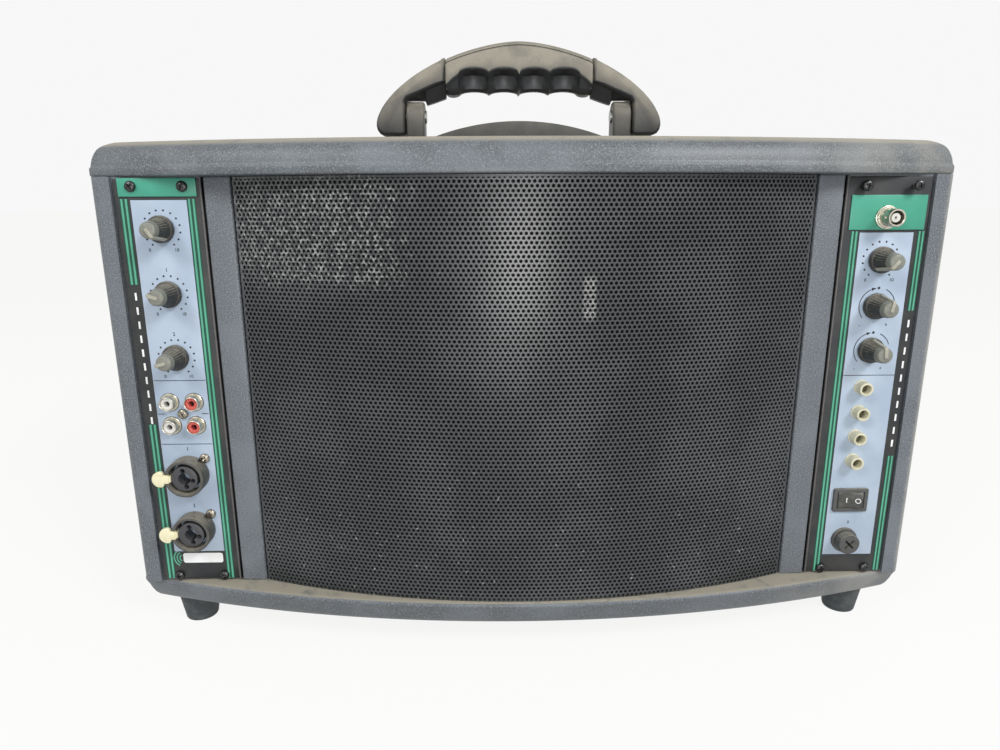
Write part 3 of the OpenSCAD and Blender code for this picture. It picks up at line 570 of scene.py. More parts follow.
MATERIALS = {
    # cap finish (cap and base): painted light on the right front; wall finish: a painted highlight down the
    # right edge
    "cap": speckled_moulding("cap_moulding", "5c6165", "989da1", "34383b", 0.95, (0.12, 0.236, 0.45)),
    "wall": speckled_moulding("wall_paint", "656a70", "a2a7ab", "3a3d42", 0.6, (0.2285, 0.2335, 0.8)),
    "post": speckled_moulding("post_paint", "666b71", "9a9fa3", "3c3f44", 0.5),
    "grille": perforated_steel(),
    "panel": satin_black("panel_black", "1c1f22", "272a2d", 0.1),
    "black": satin_black("black_plastic", base="1c1d1e", light="2a2b2c", dust=0.1),
    # painted shade: flat black put in slots, bores and hole floors where there is only shade
    "gap": satin_black("dark_gap", base="0a0a0a", light="131313", dust=0.05, roughness=0.8),
    "rail": moulded("rail_strip", "5f5d5c", "73716f", "454343"),
    "label": printed_foil("label_foil", "a9b9cc", "b9c8d9", "7c8794"),
    "green": printed_foil("green_print", "419a80", "4aa68c", "33705f"),
    "stripe_light": printed_foil("stripe_light_print", "54a588", "62b396", "3f8068"),
    "stripe_dark": printed_foil("stripe_dark_print", "0c4535", "11503e", "083328"),
    "ink": printed_foil("dark_ink", "14161b", "1e2127", "0c0d10"),
    "white_ink": printed_foil("white_ink", "f0f2f0", "ffffff", "c9ccc6"),
    "knob": moulded("knob_plastic", "2c2b2a", "3d3b38", "6f6a5c", 0.5, 0.5),
    "tip": moulded("tip_plastic", "7f8178", "94968b", "62615a", 0.4),
    "pointer": moulded("pointer_line", "a9a798", "bdbbaa", "7f7c6e", 0.4),
    "screw": plated("dark_screw_plating", "4a4a4b", "232323", 0.28),
    "bright_screw": plated("bright_screw_plating", "a39c8f", "5d554a", 0.25),
    "nickel": plated("nickel_plating", "c8c4b6", "8f897b", 0.28),
    "collar": moulded("collar_plastic", "4a4946", "5a5853", "6e6a5e", 0.5, 0.5),
    "insert": moulded("insert_plastic", "3f3f42", "4b4b4e", "343436", 0.45),
    "tab": moulded("tab_plastic", "f1ebc4", "faf5d8", "d7cda0", 0.5),
    "cream": moulded("lamp_holder_plastic", "d8d4b8", "e8e5cd", "aaa288", 0.45, 0.2),
    "white": moulded("white_plug_plastic", "dcdad4", "ecebe6", "a8a49c", 0.35),
    "red": moulded("red_plug_plastic", "c8584e", "d86c5f", "8f3a34", 0.35),
    "rocker": moulded("rocker_plastic", "3b3c3a", "4a4b48", "6a675d", 0.4, 0.6),
    "bezel": moulded("bezel_plastic", "4c4d4c", "5b5c5a", "3a3b3a", 0.45, 0.5),
    "fuse": moulded("fuse_cap_plastic", "4a4a49", "5b5b59", "38383a", 0.4, 0.4),
    "rubber": worn_rubber(),
    "handle": handle_skin("handle_plastic"),
    "grip": handle_skin("grip_plastic", scooped=True),
    "back": satin_black("back_panel_paint", base="1b1c1e", light="27282a", dust=0.12),
    "foam": plain_inside("foam", "0b0b0b", "141414", 0.95),
    "wood": plain_inside("painted_board", "101011", "1b1b1c", 0.8, size=12),
    "steel_in": plain_inside("pressed_steel", "2a2b2c", "3a3b3c", 0.45, 0.6),
    "paper": plain_inside("cone_pulp", "101112", "1b1c1d", 0.9),
    "circuit": plain_inside("circuit_board", "0c4a2a", "12603a", 0.4),
    "zinc": plain_inside("zinc_plate", "8b8d8c", "a5a7a6", 0.35, 0.9),
    "sink": plain_inside("heat_sink_alloy", "56585b", "6b6d70", 0.4, 0.9),
    "battery": plain_inside("battery_case", "2b2c30", "3a3b40", 0.5),
    "lamp": moulded("lamp_resin", "5b5a44", "77755c", "2e2d24", 0.2),
    "glass": plain_inside("fuse_glass", "9fb0b0", "b8c6c6", 0.1),
}


# ---------- base, cap and cabinet ----------

BOW_R = 0.770
BACK_R, FRONT_EASE = 8.5 * MM, 1.8 * MM


def footprint(inset, z):
    """One ring of the base's or cap's plan: bowed front, square front corners, round back corners."""
    inset *= MM
    x_edge, y_back = LIP_X - inset, REAR_Y - inset

    def bow_y(x):
        return FRONT_Y + BOW_R - math.sqrt((BOW_R - inset) ** 2 - x * x)

    ring = []
    for i in range(41):
        x = (x_edge - FRONT_EASE) * (i / 20 - 1)
        ring.append((x, bow_y(x), z))
    start, corner = Vector(ring[-1][:2]), Vector((x_edge, bow_y(x_edge)))
    end = corner + Vector((0, FRONT_EASE))
    for i in range(1, 6):
        t = i / 5
        x, y = (1 - t) ** 2 * start + 2 * t * (1 - t) * corner + t * t * end
        ring.append((x, y, z))
    for i in range(9):
        a = math.pi / 2 * i / 8
        ring.append((x_edge - BACK_R * (1 - math.cos(a)), y_back - BACK_R * (1 - math.sin(a)), z))
    mirror = [(-x, y, z) for x, y, z in reversed(ring[41:])]
    return ring + mirror


def moulding(name, node, start, rings):
    made = lofted(name, [footprint(inset, start + z * MM) for z, inset in rings], angle=40)
    return finish_piece(made, "cap", replaces=[node])


cap_rings = [(0.0, 14), (0.0, 2.6), (0.15, 0.7), (0.5, 0.2), (1.1, 0.0), (4.2, 0.0), (4.7, 0.2), (5.3, 0.65),
             (6.4, 0.9), (8.1, 1.2), (10.4, 1.9), (12.5, 2.8), (14.3, 3.9), (15.6, 5.2), (16.8, 7.1),
             (17.7, 9.2),
             (18.3, 11.0), (18.6, 12.8), (18.6, 18)]
base_rings = [(0.0, 22), (0.0, 12.6), (0.25, 10.2), (0.9, 7.6), (2.3, 5.3), (4.4, 3.8), (7.5, 2.5),
              (10.6, 1.5),
              (12.8, 0.6), (14.0, 0.1), (14.8, 0.0), (15.8, 0.05), (16.5, 0.6), (16.8, 1.3), (17.0, 2.4),
              (17.0, 18)]
moulding("cap", "top_cap", WIN_TOP, cap_rings)
moulding("base", "bottom_base", FOOT_TOP, base_rings)

SIDES = (-1, "left"), (1, "right")

# posts beside the grille, with eased edges, and the rail strips beyond them
for count, (side, name) in enumerate(SIDES, 1):
    across = sorted((side * POST_IN, side * POST_OUT))
    bar = block(f"post_{count}", across, (PANEL_Y, PANEL_Y + POST_DEPTH),
                (BASE_TOP, WIN_TOP), round_off=1.1, segments=4)
    finish_piece(smooth(bar, 40), "post", replaces=["posts"])
    # the tongue is painted black as the shade in the slot beside the post
    across = sorted((side * (POST_OUT - 1 * MM), side * (POST_OUT + TONGUE)))
    tongue = block(f"post_tongue_{count}", across, (PANEL_Y + 3 * MM, PANEL_Y + 5 * MM),
                   (BASE_TOP, WIN_TOP), round_off=0.3)
    finish_piece(smooth(tongue), "gap")
    across = sorted((side * (PLATE_IN + 0.1 * MM), side * (PLATE_IN + 1.1 * MM)))
    strip = block(f"{name}_rail_strip", across, (FACE_Y - 0.5 * MM, FACE_Y + 2 * MM),
                  (BASE_TOP + 0.4 * MM, WIN_TOP - 0.4 * MM), round_off=0.5)
    finish_piece(smooth(strip), "rail")

# control panel plates: softened steel, black painted
for _, name in SIDES:
    plate = block(f"{name}_plate", *zip(*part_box(f"{name}_panel")), round_off=0.6)
    finish_piece(smooth(plate), "panel", replaces=[f"{name}_panel"])


# ---------- perforated grille ----------

PITCH = 2.7 * MM
ROW = PITCH * math.sqrt(3) / 2
HOLE = 1.03 * MM
SHEET = 0.9 * MM
GRILLE_R = 0.450
CREST = low("grille")[1]
HALF_ARC = GRILLE_R * math.asin(GRILLE_SIDE / GRILLE_R)
GRILLE_LOW, GRILLE_TOP = BASE_TOP + GAP, WIN_TOP - GAP


def bent_to_bow(x, y, z):
    """A flat point, y behind the crest, laid round the grille's bow."""
    angle = x / GRILLE_R
    r = GRILLE_R - y
    return r * math.sin(angle), CREST + GRILLE_R - r * math.cos(angle), z


def hole_cell():
    """One hexagonal cell of the sheet with its round hole, hole walls included."""
    bpy.ops.mesh.primitive_circle_add(vertices=6, radius=PITCH / math.sqrt(3), fill_type="NGON")
    cell = fresh("hole_cell")
    edit(cell)
    bpy.ops.mesh.inset(thickness=PITCH / 2 - HOLE * 0.93, use_even_offset=True)
    bpy.ops.mesh.delete(type="FACE")
    bpy.ops.mesh.select_all(action="SELECT")
    bpy.ops.mesh.select_non_manifold(extend=False)
    leave()
    for vertex in cell.data.vertices:
        if vertex.co.length < PITCH / 2:
            vertex.co = vertex.co.normalized() * HOLE
    edit(cell)
    bpy.ops.mesh.select_all(action="DESELECT")
    leave()
    for edge in cell.data.edges:
        edge.select = all(cell.data.vertices[i].co.length < PITCH / 2 for i in edge.vertices)
    activate(cell)
    bpy.ops.object.mode_set(mode="EDIT")
    bpy.ops.mesh.select_mode(type="EDGE")
    bpy.ops.mesh.extrude_region_move(TRANSFORM_OT_translate={"value": (0, 0, -SHEET)})
    leave()
    return cell


def perforated_half(name, side):
    """Half the grille: a sheet of cells, trimmed at its edges and bent."""
    across, rows = int(HALF_ARC / PITCH) + 2, int((GRILLE_TOP - GRILLE_LOW) / ROW) + 2
    sheet = hole_cell()
    sheet.name = name
    sheet.data.transform(Matrix.Translation((0, ROW * 0.5, 0)))
    offset = copied(sheet, "row", Matrix.Translation((PITCH / 2, ROW, 0)))
    sheet = joined(name, [sheet, offset])
    for count, step in ((across, (side * PITCH, 0, 0)), (rows // 2 + 1, (0, 2 * ROW, 0))):
        apply_modifier(sheet, "ARRAY", count=count, use_relative_offset=False, use_constant_offset=True,
                       constant_offset_displace=step, use_merge_vertices=False)
    edit(sheet)
    bpy.ops.mesh.remove_doubles(threshold=2e-5)
    cuts = [((0, 0, 0), (-side, 0, 0)), ((side * HALF_ARC, 0, 0), (side, 0, 0)),
            ((0, 0, 0), (0, -1, 0)), ((0, GRILLE_TOP - GRILLE_LOW, 0), (0, 1, 0))]
    for place, facing in cuts:
        bpy.ops.mesh.select_all(action="SELECT")
        bpy.ops.mesh.bisect(plane_co=place, plane_no=facing, clear_outer=True)
    leave()
    for vertex in sheet.data.vertices:
        x, y, z = vertex.co
        vertex.co = bent_to_bow(x, -z, y + GRILLE_LOW)
    edit(sheet)
    bpy.ops.mesh.normals_make_consistent(inside=False)
    leave()
    return sheet


for count, side in enumerate((-1, 1), 1):
    made = perforated_half(f"grille_{count}", side)
    if made.data.polygons[0].normal.y > 0:
        made.data.flip_normals()
    finish_piece(made, "grille", replaces=["grille"])

HEM = 1.2 * MM
for count, side in enumerate((-1, 1), 1):
    flange = block(f"grille_flange_{count}", sorted((side * (GRILLE_SIDE - HEM), side * GRILLE_SIDE)),
                   (bent_to_bow(HALF_ARC, 0, 0)[1], PANEL_Y + POST_DEPTH), (GRILLE_LOW, GRILLE_TOP),
                   round_off=0.4)
    finish_piece(smooth(flange), "grille")

for level, z, out in ("low", GRILLE_LOW, 1.7 * MM), ("top", WIN_TOP - 1.5 * MM, 0.5 * MM):
    rings = []
    for i in range(49):
        x, y, _ = bent_to_bow(HALF_ARC * (i / 24 - 1), out, 0)
        x2, y2, _ = bent_to_bow(HALF_ARC * (i / 24 - 1), 7 * MM, 0)
        rings.append([(x, y, z), (x, y, z + HEM), (x2, y2, z + HEM), (x2, y2, z)])
    finish_piece(lofted(f"grille_hem_{level}", rings), "grille")


# ---------- labels, stripes and dial marks ----------

def printed(name, node, finish, edge):
    """A label's own thin sheet with eased edges, the size of its node."""
    sheet = soften(block(name, *zip(*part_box(node))), edge, 2)
    return finish_piece(smooth(sheet), finish, replaces=[node])


for _, name in SIDES:
    printed(f"{name}_foil", f"{name}_label", "label", 0.08)
    printed(f"{name}_green", f"{name}_header", "green", 0.25)

LEFT_X, RIGHT_X = middle("left_panel")[0], middle("right_panel")[0]
PRINT_OUT = (FACE_Y - low("left_label")[1]) / MM


def drop_place(side, x, drop, out=0.0):
    """A place on a panel: x from its middle, drop below the window's top, in millimetres."""
    return panel_place((LEFT_X if side < 0 else RIGHT_X) + x * MM, WIN_TOP - drop * MM, out * MM)


def drop_of(node):
    """How far a node's middle is below the window's top, in millimetres."""
    return WIN_TOP / MM - middle(node)[2] / MM


def print_marks(name, marks, finish):
    return finish_piece(joined(name, marks), finish)


def bar(side, x, drop, out=PRINT_OUT, thick=0.06):
    return slab("bar", x, (-drop[1], -drop[0]), (0, thick), drop_place(side, 0, 0, out), 0.02, 1)


def dot(side, x, drop, r, out=PRINT_OUT):
    return outlined("dot", arc(0, 0, r, 0, 337.5, 15), 0.06, drop_place(side, x, drop, out))


def arc_mark(side, x, drop, r, w, start, end):
    """A printed arc, angles in degrees from the right, anticlockwise."""
    outer = arc(0, 0, r + w / 2, start, end, 24)
    inner = arc(0, 0, r - w / 2, end, start, 24)
    return outlined("arc", outer + inner, 0.06, drop_place(side, x, drop, PRINT_OUT))


def number(text, side, x, drop, size, out=PRINT_OUT):
    """A plain figure on the label."""
    bpy.ops.object.text_add()
    figure = bpy.context.object
    figure.data.body = text
    figure.data.size = size * MM * 1.35
    figure.data.align_x, figure.data.align_y = "CENTER", "CENTER"
    figure.data.extrude = 0.03 * MM
    figure.data.offset = 0.03 * MM
    activate(figure)
    bpy.ops.object.convert(target="MESH")
    figure = fresh("figure")
    return move(figure, drop_place(side, x, drop, out + 0.03))


def stripes(side, inner, outer, breaks):
    """A dark band with two light lines; breaks gives the spans of drop that are printed."""
    width = outer - inner
    for tone, parts in {"dark": ((-0.16, 1.16),), "light": ((0.02, 0.32), (0.68, 0.98))}.items():
        bars = [bar(side, (inner + width * a, inner + width * b), span,
                    out=0.02 if tone == "dark" else 0.1, thick=0.1) for span in breaks for a, b in parts]
        side_name = "left" if side < 0 else "right"
        print_marks(f"{side_name}_stripe_{tone}_{'in' if inner > 0 else 'out'}", bars,
                    f"stripe_{tone}")


stripes(-1, -20.4, -16.8, [(11.6, 57.5), (138.5, 237.4)])
stripes(-1, 15.7, 19.2, [(11.6, 237.4)])
stripes(1, -17.9, -14.7, [(30.4, 237.4)])
stripes(1, 19.4, 22.4, [(30.4, 74.6), (162, 237.4)])

# plain dashes where the outer stripes are broken
dashes = [bar(-1, (-19.2, -18.1), (d, d + 4.2), out=0.02) for d in range(62, 136, 8)]
dashes += [bar(1, (20.1, 21.2), (d, d + 4.2), out=0.02) for d in range(80, 160, 8)]
print_marks("panel_dashes", dashes, "white_ink")

LEFT_DIALS = [drop_of(f"{n}_knob") for n in ("aux", "mic_1", "mic_2")]
RIGHT_DIALS = [drop_of(f"{n}_knob") for n in ("wireless", "bass", "treble")]
RING_R, SWEEP = 10.1, 290


def dial_ring(side, drop):
    marks = []
    for i in range(14):
        a = math.radians(90 + SWEEP / 2 - SWEEP * i / 13)
        marks.append(dot(side, RING_R * math.cos(a), drop - RING_R * math.sin(a), 0.55))
    return marks


marks, figures = [], []
for side, drop, low_x, high_x in [(-1, drop, -7.6, 7.0) for drop in LEFT_DIALS] + [(1, RIGHT_DIALS[0], -7.4,
                                                                                    7.4)]:
    marks += dial_ring(side, drop)
    figures += [number("0", side, low_x, drop + 11.2, 1.9), number("10", side, high_x, drop + 11.2, 1.9)]
for drop in RIGHT_DIALS[1:]:
    marks += [arc_mark(1, 1, drop, RING_R, 0.45, 114, 222), arc_mark(1, 1, drop, RING_R, 0.45, 66, 18)]
    head = [(-1.3, -0.9), (1.3, 0), (-1.3, 0.9)]
    marks.append(outlined("arrow", head, 0.06, drop_place(1, -1.6, drop - 9.7, PRINT_OUT) @ spun(15)))
    marks.append(dot(1, 1, drop - RING_R, 0.75))
    figures += [number("-", 1, -7.6, drop + 11, 2.2), number("+", 1, 7.6, drop + 11, 2.2)]
for drop in (112.2, 150.5):
    marks.append(bar(-1, (-14.6, 14.6), (drop - 0.2, drop + 0.2)))
marks += [bar(-1, (-14.6, -10.6), (131.85, 132.25)), bar(-1, (10.6, 14.6), (131.85, 132.25))]
marks.append(bar(1, (-13.4, 16.4), (112.0, 112.4)))
figures += [number("1", -1, 0, LEFT_DIALS[1] - 13.2, 2.2), number("2", -1, 0, LEFT_DIALS[2] - 13.2, 2.2)]
print_marks("dial_marks", marks, "ink")
figures += [number("1", -1, 0, 153.6, 2.2), number("2", -1, 0, 189.4, 2.2), number("3", 1, 0, 204.8, 2.0)]
print_marks("dial_numbers", figures, "ink")
waves = []
for r in (2.2, 3.9, 5.6):
    outer, inner = arc(0, 0, r + 0.4, 118, 242, 16), arc(0, 0, r - 0.4, 242, 118, 16)
    waves.append(outlined("wave", outer + inner, 0.08, drop_place(-1, -10.2, 223.8, 0.02)))
print_marks("badge_waves", waves, "stripe_light")
badge = outlined("left_badge", rounded(24, 6.4, 1.4), 0.08, drop_place(-1, 1.7, 223.8, 0.02))
finish_piece(badge, "white_ink")


# ---------- knobs ----------

KNOBS = {"aux": 148, "mic_1": -72, "mic_2": -106, "wireless": -140, "bass": 10, "treble": -5}   # degrees
KNOB_POINTS, KNOB_RIBS, RIDGE_W = 120, 24, 1.9


def ribbed_knob(name):
    """Skirted knob: smooth skirt, fluted cone and rounded shoulder."""
    levels = [(0.9, 6.9, 0), (1.2, 7.3, 0), (2.9, 7.35, 0), (3.5, 7.15, 0), (3.85, 6.7, 0), (3.9, 6.35, 0.4),
              (4.3, 6.2, 1), (8.4, 5.5, 1), (12.2, 4.92, 1), (12.9, 4.78, 0.6), (13.4, 4.5, 0),
              (13.5, 4.2, 0)]
    rings = []
    for z, r, depth in levels:
        ring = []
        for i in range(KNOB_POINTS):
            a = TAU * i / KNOB_POINTS
            flute = depth * 0.3 * (0.5 + 0.5 * math.cos(KNOB_RIBS * a))
            ring.append(((r - flute) * MM * math.cos(a), (r - flute) * MM * math.sin(a), z * MM))
        rings.append(ring)
    return lofted(name, rings, angle=50)


def tip_cap(name):
    """Domed cap on the knob's end."""
    return turned(name, [(4.5, 13.5), (4.74, 13.6), (4.7, 14.6), (4.35, 16.6), (4.05, 17.2), (3.5, 17.5),
                         (0, 17.55)], HERE, 48, 45)


def pointer_ridge(name):
    """Raised pointer: from the middle of the cap, over its edge and down the knob's side."""
    ridge = outlined(name, [(-1.4, 17.2), (-1.1, 18.35), (3.7, 18.35), (4.6, 18.05), (5.1, 17.2),
                            (5.65, 13.5),
                            (6.95, 5.0), (6.8, 4.2), (5.9, 4.2), (4.4, 13.5), (3.6, 16.6)],
                     RIDGE_W, HERE, 0.25, 2)
    return move(ridge, Matrix.Translation((-RIDGE_W / 2 * MM, 0, 0)) @ TO_SIDE)


knob_master, tip_master = ribbed_knob("knob_master"), tip_cap("tip_master")
ridge_master = pointer_ridge("ridge_master")
for name, turn in KNOBS.items():
    at = on_node(f"{name}_knob") @ spun(-turn)
    placed(knob_master, f"{name}_knob_shell", at, "knob", f"{name}_dial", [f"{name}_knob"])
    placed(tip_master, f"{name}_pointer_cap", at, "tip", f"{name}_dial", [f"{name}_tip"])
    placed(ridge_master, f"{name}_pointer", at, "pointer", f"{name}_dial", [f"{name}_tip"])
discard(knob_master, tip_master, ridge_master)


# ---------- screws ----------

THREAD = 0.5


def cross_screw(name, shank=0.0):
    """Pan head with a tapering cross; shank is the threaded length that shows under the head."""
    profile = [(0, 0), (2.6, 0), (2.9, 0.25), (2.9, 0.95), (2.72, 1.35), (2.2, 1.75), (1.3, 2.02), (0, 2.1)]
    head = turned(name, profile, HERE, 40)
    for angle in (0, 90):
        blade = outlined("blade", [(-1.75, 2.6), (-1.6, 1.5), (-0.5, 0.5), (0.5, 0.5), (1.6, 1.5),
                                   (1.75, 2.6)],
                         0.62, Matrix.Translation((0, 0.31 * MM, 0)) @ Matrix.Rotation(math.pi / 2, 4, "X"))
        cut(head, move(blade, spun(angle)))
    if shank:
        thread = [(0, -shank)]
        for i in range(int(shank / THREAD)):
            z = -shank + i * THREAD
            thread += [(1.15, z + 0.1), (1.42, z + 0.25), (1.42, z + 0.3), (1.15, z + 0.45)]
        thread += [(1.15, 0.1), (0, 0.1)]
        head = joined(name, [head, turned("thread", thread, HERE, 24)])
    return smooth(head, 40)


SCREW_X = 13.7
plain_screw, long_screw = cross_screw("screw_master"), cross_screw("long_screw_master", 4.2)
# each screw: side, place across, drop, how far it stands out
dark = [(side, x, drop, out) for side, drop, out in ((-1, 5.1, 0.8), (-1, 235.4, 0.0), (1, 235.4, 0.0))
        for x in (-SCREW_X, SCREW_X)]
bright = [(-1, 0, 132.0, 0.3), (-1, 9.6, 159.3, 0.3), (-1, 9.6, 194.6, 0.3)]
proud = [(1, -SCREW_X, 6.1, 3.0), (1, SCREW_X, 6.1, 4.2)]
count = 0
for group, master, finish in ((dark, plain_screw, "screw"), (bright, plain_screw, "bright_screw"),
                              (proud, long_screw, "screw")):
    for side, x, drop, out in group:
        count += 1
        spin = spun((drop * 37 + x * 11) % 90)      # each screw stops at its own angle
        placed(master, f"panel_screw_{count}", drop_place(side, x, drop, out) @ spin, finish,
               replaces=["panel_screws"])
discard(plain_screw, long_screw)


# ---------- phono sockets ----------

PHONO_DROP, PHONO_HALF = 132.0, 7
for column, (x, finish) in enumerate(((-PHONO_HALF, "white"), (PHONO_HALF, "red")), 1):
    for row, dz in enumerate((-PHONO_HALF, PHONO_HALF), 1):
        place = drop_place(-1, x, PHONO_DROP + dz)
        tag = f"{column}_{row}"
        shell = turned(f"phono_shell_{tag}", [
            (3.55, -2), (4.1, -2), (4.1, 0.3), (5.2, 0.3), (5.2, 0.75), (4.95, 0.95), (4.15, 0.95),
            (4.15, 4.9),
            (4.05, 5.25), (3.85, 5.4), (3.62, 5.3), (3.55, 5.05), (3.55, -2)], place, 56)
        finish_piece(shell, "nickel", replaces=["rca_shells"])
        plug = turned(f"phono_insert_{tag}", [
            (1.65, 0.2), (3.52, 0.2), (3.52, 4.3), (3.35, 4.55), (1.95, 4.6), (1.7, 4.45), (1.65, 0.2)],
            place, 48)
        finish_piece(plug, finish, replaces=["rca_inserts"])
        # painted shade: a black disc at the bottom of the insert's bore
        core = turned(f"phono_core_{tag}", [(0, 0.2), (1.64, 0.25), (1.64, 0.6), (0, 0.6)], place, 24)
        finish_piece(core, "gap")


# ---------- microphone jacks ----------

def jack_collar(name):
    body = turned(name, ring_profile(11.25, 9.3, 0.3, 10, 0.7), HERE, 96)
    notch = slab("notch", (-14, -7), (-3.1, 3.1), (4, 12), HERE)
    relief = turned("relief", [(0, 0.2), (3.3, 0.2), (3.3, 4.4), (0, 4.4)],
                    Matrix.Translation((9.6 * MM, 9.6 * MM, 0)), 32)
    return smooth(cut(body, notch, relief), 40)


def jack_insert(name):
    """Round insert with its quarter inch bore and three contact openings joined to it."""
    body = turned(name, [(0, -1.5), (7.65, -1.5), (7.65, 8.2), (7.45, 8.75), (7.0, 9.0), (0, 9.0)],
                  HERE, 72)
    cutters = [turned("bore", [(0, -0.8), (3.25, -0.8), (3.25, 8.4), (3.6, 9.2), (0, 9.2)], HERE, 40)]
    for angle in (97, -80, -14):
        swing = spun(angle)
        cutters.append(turned("lobe", [(0, -0.5), (1.3, -0.5), (1.3, 8.6), (1.55, 9.2), (0, 9.2)],
                              swing @ Matrix.Translation((4.9 * MM, 0, 0)), 24))
        cutters.append(slab("slit", (0, 4.9), (-0.75, 0.75), (-0.4, 9.4), swing))
    return smooth(cut(body, *cutters), 40)


collar_master, insert_master = jack_collar("collar_master"), jack_insert("insert_master")
for count in (1, 2):
    place = drop_place(-1, 0, drop_of(f"jack_tab_{count}"))
    placed(collar_master, f"mic_jack_{count}_collar", place, "collar",
           replaces=["combo_jack_collars"])
    placed(insert_master, f"mic_jack_{count}_insert", place, "insert",
           replaces=["combo_jack_inserts"])
    # painted shade: a black floor inside the collar
    back = turned(f"mic_jack_{count}_floor", [(0, -1.8), (9.28, -1.8), (9.28, -1.4), (0, -1.4)], place, 48)
    finish_piece(back, "gap")
    shape = [(-11.7, -3.6), (-11.7, 3.6), (-12.6, 4.7)] + arc(-13.6, 0, 4.75, 95, 265, 14) + [(-12.6, -4.7)]
    paddle = outlined(f"mic_jack_{count}_paddle", shape, 2.45, place @ raised(7.7), 0.5, 3)
    lip = slab("lip", (-17.6, -16.6), (-2.2, 2.2), (9.6, 10.2), place, 0.25, 2)
    neck = slab("neck", (-12.6, -8.9), (-2.6, 2.6), (7.7, 9.8), place, 0.35, 2)
    latch = slab("latch", (-9.0, -7.9), (-1.75, 1.75), (1.9, 9.5), place, 0.2, 2)
    tab = smooth(joined(f"mic_jack_{count}_tab", [paddle, lip, neck, latch]), 40)
    finish_piece(tab, "tab", f"tab_{count}", [f"jack_tab_{count}"])
discard(collar_master, insert_master)


# ---------- aerial socket, lamps, switch and fuse ----------

place = drop_place(1, 0, drop_of("bnc_socket"))
washer = turned("aerial_washer", ring_profile(6.35, 4.3, 0.8, 1.9, 0.25), place, 64)
nut = turned("aerial_collar", ring_profile(5.6, 4.3, 1.8, 2.8, 0.3), place, 64)
barrel = turned("aerial_barrel", [
    (3.7, 2.4), (4.8, 2.4), (4.8, 6.2), (4.65, 6.4), (4.65, 6.9), (4.8, 7.1), (4.8, 11.0), (4.6, 11.35),
    (4.0, 11.4), (3.75, 11.2), (3.7, 2.4)], place, 64)
lug = turned("lug", [(0, -5.7), (0.8, -5.7), (0.95, -5.5), (0.95, 5.5), (0.8, 5.7), (0, 5.7)],
             place @ raised(8.3) @ Matrix.Rotation(math.pi / 2, 4, "Y"), 20)
hole = turned("hollow", [(0, 2.8), (4.2, 2.8), (4.2, 12), (0, 12)], place, 48)
cut(lug, hole)
socket = joined("aerial_socket", [washer, nut, barrel, lug])
finish_piece(smooth(socket), "nickel", replaces=["bnc_socket"])
core = turned("aerial_core", [
    (0.7, 3.0), (2.5, 3.0), (2.5, 9.9), (2.3, 10.1), (0.9, 10.1), (0.7, 9.9), (0.7, 3.0)], place, 36)
finish_piece(core, "white")
# painted shade: a black floor at the bottom of the barrel
pit = turned("aerial_floor", [(0, 3.0), (4.14, 3.0), (4.14, 3.3), (0, 3.3)], place, 36)
finish_piece(pit, "gap")

LAMP_R = 4 * MM
lamp_ring = turned("lamp_ring_master", [
    (2.6, 0.3), (4.3, 0.3), (4.3, 0.9), (4.05, 1.15), (3.95, 1.2), (3.95, 6.4), (3.8, 6.85), (3.5, 7.0),
    (2.95, 7.0), (2.7, 6.8), (2.6, 6.4), (2.6, 0.3)], HERE, 48)
lo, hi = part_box("led_holders")
for count in range(1, 5):
    z = hi[2] - LAMP_R - (count - 1) * (hi[2] - lo[2] - 2 * LAMP_R) / 3
    placed(lamp_ring, f"lamp_holder_{count}", panel_place((lo[0] + hi[0]) / 2, z), "cream",
           replaces=["led_holders"])
discard(lamp_ring)

place = on_node("rocker_housing")
bezel = outlined("switch_bezel", rounded(21, 15, 1.2), 1.7, place @ raised(0.3), 0.5, 3)
cut(bezel, slab("window", (-8.2, 8.2), (-5.3, 5.3), (-1, 4), place))
well = slab("well", (-9.4, 9.4), (-6.4, 6.4), (-9, 0.29), place)
cut(well, slab("window", (-8.2, 8.2), (-5.3, 5.3), (-8, 4), place))
bezel = joined("switch_bezel", [bezel, well])
finish_piece(smooth(bezel), "bezel", replaces=["rocker_housing"])
pivot = place @ raised(-2)
key_axes = pivot @ Matrix.Rotation(math.pi / 2, 4, "X") @ spun(8)       # the key rests tilted to one side
key_points = [(-7.2, 5.4), (-3.6, 4.25), (0, 3.8), (3.6, 4.25), (7.2, 5.4), (6.4, -2.5), (2, -4.4),
              (-2, -4.4),
              (-6.4, -2.5)]
key = outlined("switch_key", key_points, 10.0, key_axes @ raised(-5), 0.45, 3)
finish_piece(smooth(key), "rocker", "power_rocker", ["rocker"])


def on_key(x, rise):
    """A place on the switch key's face: x along it, facing out."""
    slope = math.degrees(math.atan2(5.4 - 4.25, 3.6)) * (1 if x > 0 else -1)
    spot = key_axes @ Matrix.Translation((x * MM, rise * MM, 0))
    return spot @ Matrix.Rotation(-math.pi / 2, 4, "X") @ spun(-slope, "Y")


dash = slab("dash", (-0.3, 0.3), (-1.5, 1.5), (0, 0.1), on_key(-1.9, 4.2))
ring = turned("ring", [(1.15, 0), (1.6, 0), (1.6, 0.1), (1.15, 0.1), (1.15, 0)], on_key(4.6, 4.62), 32)
finish_piece(joined("switch_marks", [dash, ring]), "white_ink", "power_rocker")

place = on_node("fuse_cap")
flange = turned("fuse_flange", [
    (4.6, -2), (6.2, -2), (6.2, 0.3), (7.8, 0.3), (7.8, 1.5), (7.5, 1.95), (7.0, 2.1), (5.4, 2.1), (4.6, 1.9),
    (4.6, -2)], place, 72)
finish_piece(flange, "fuse", replaces=["fuse_holder"])


def notched_ring(z, r, depth, sides=96):
    """A ring of the fuse cap, every other pair of its points set in."""
    radii = [(r - 0.3 * depth * (i % 4 < 2)) * MM for i in range(sides)]
    return [(a * math.cos(TAU * i / sides), a * math.sin(TAU * i / sides), z * MM) for i,
            a in enumerate(radii)]


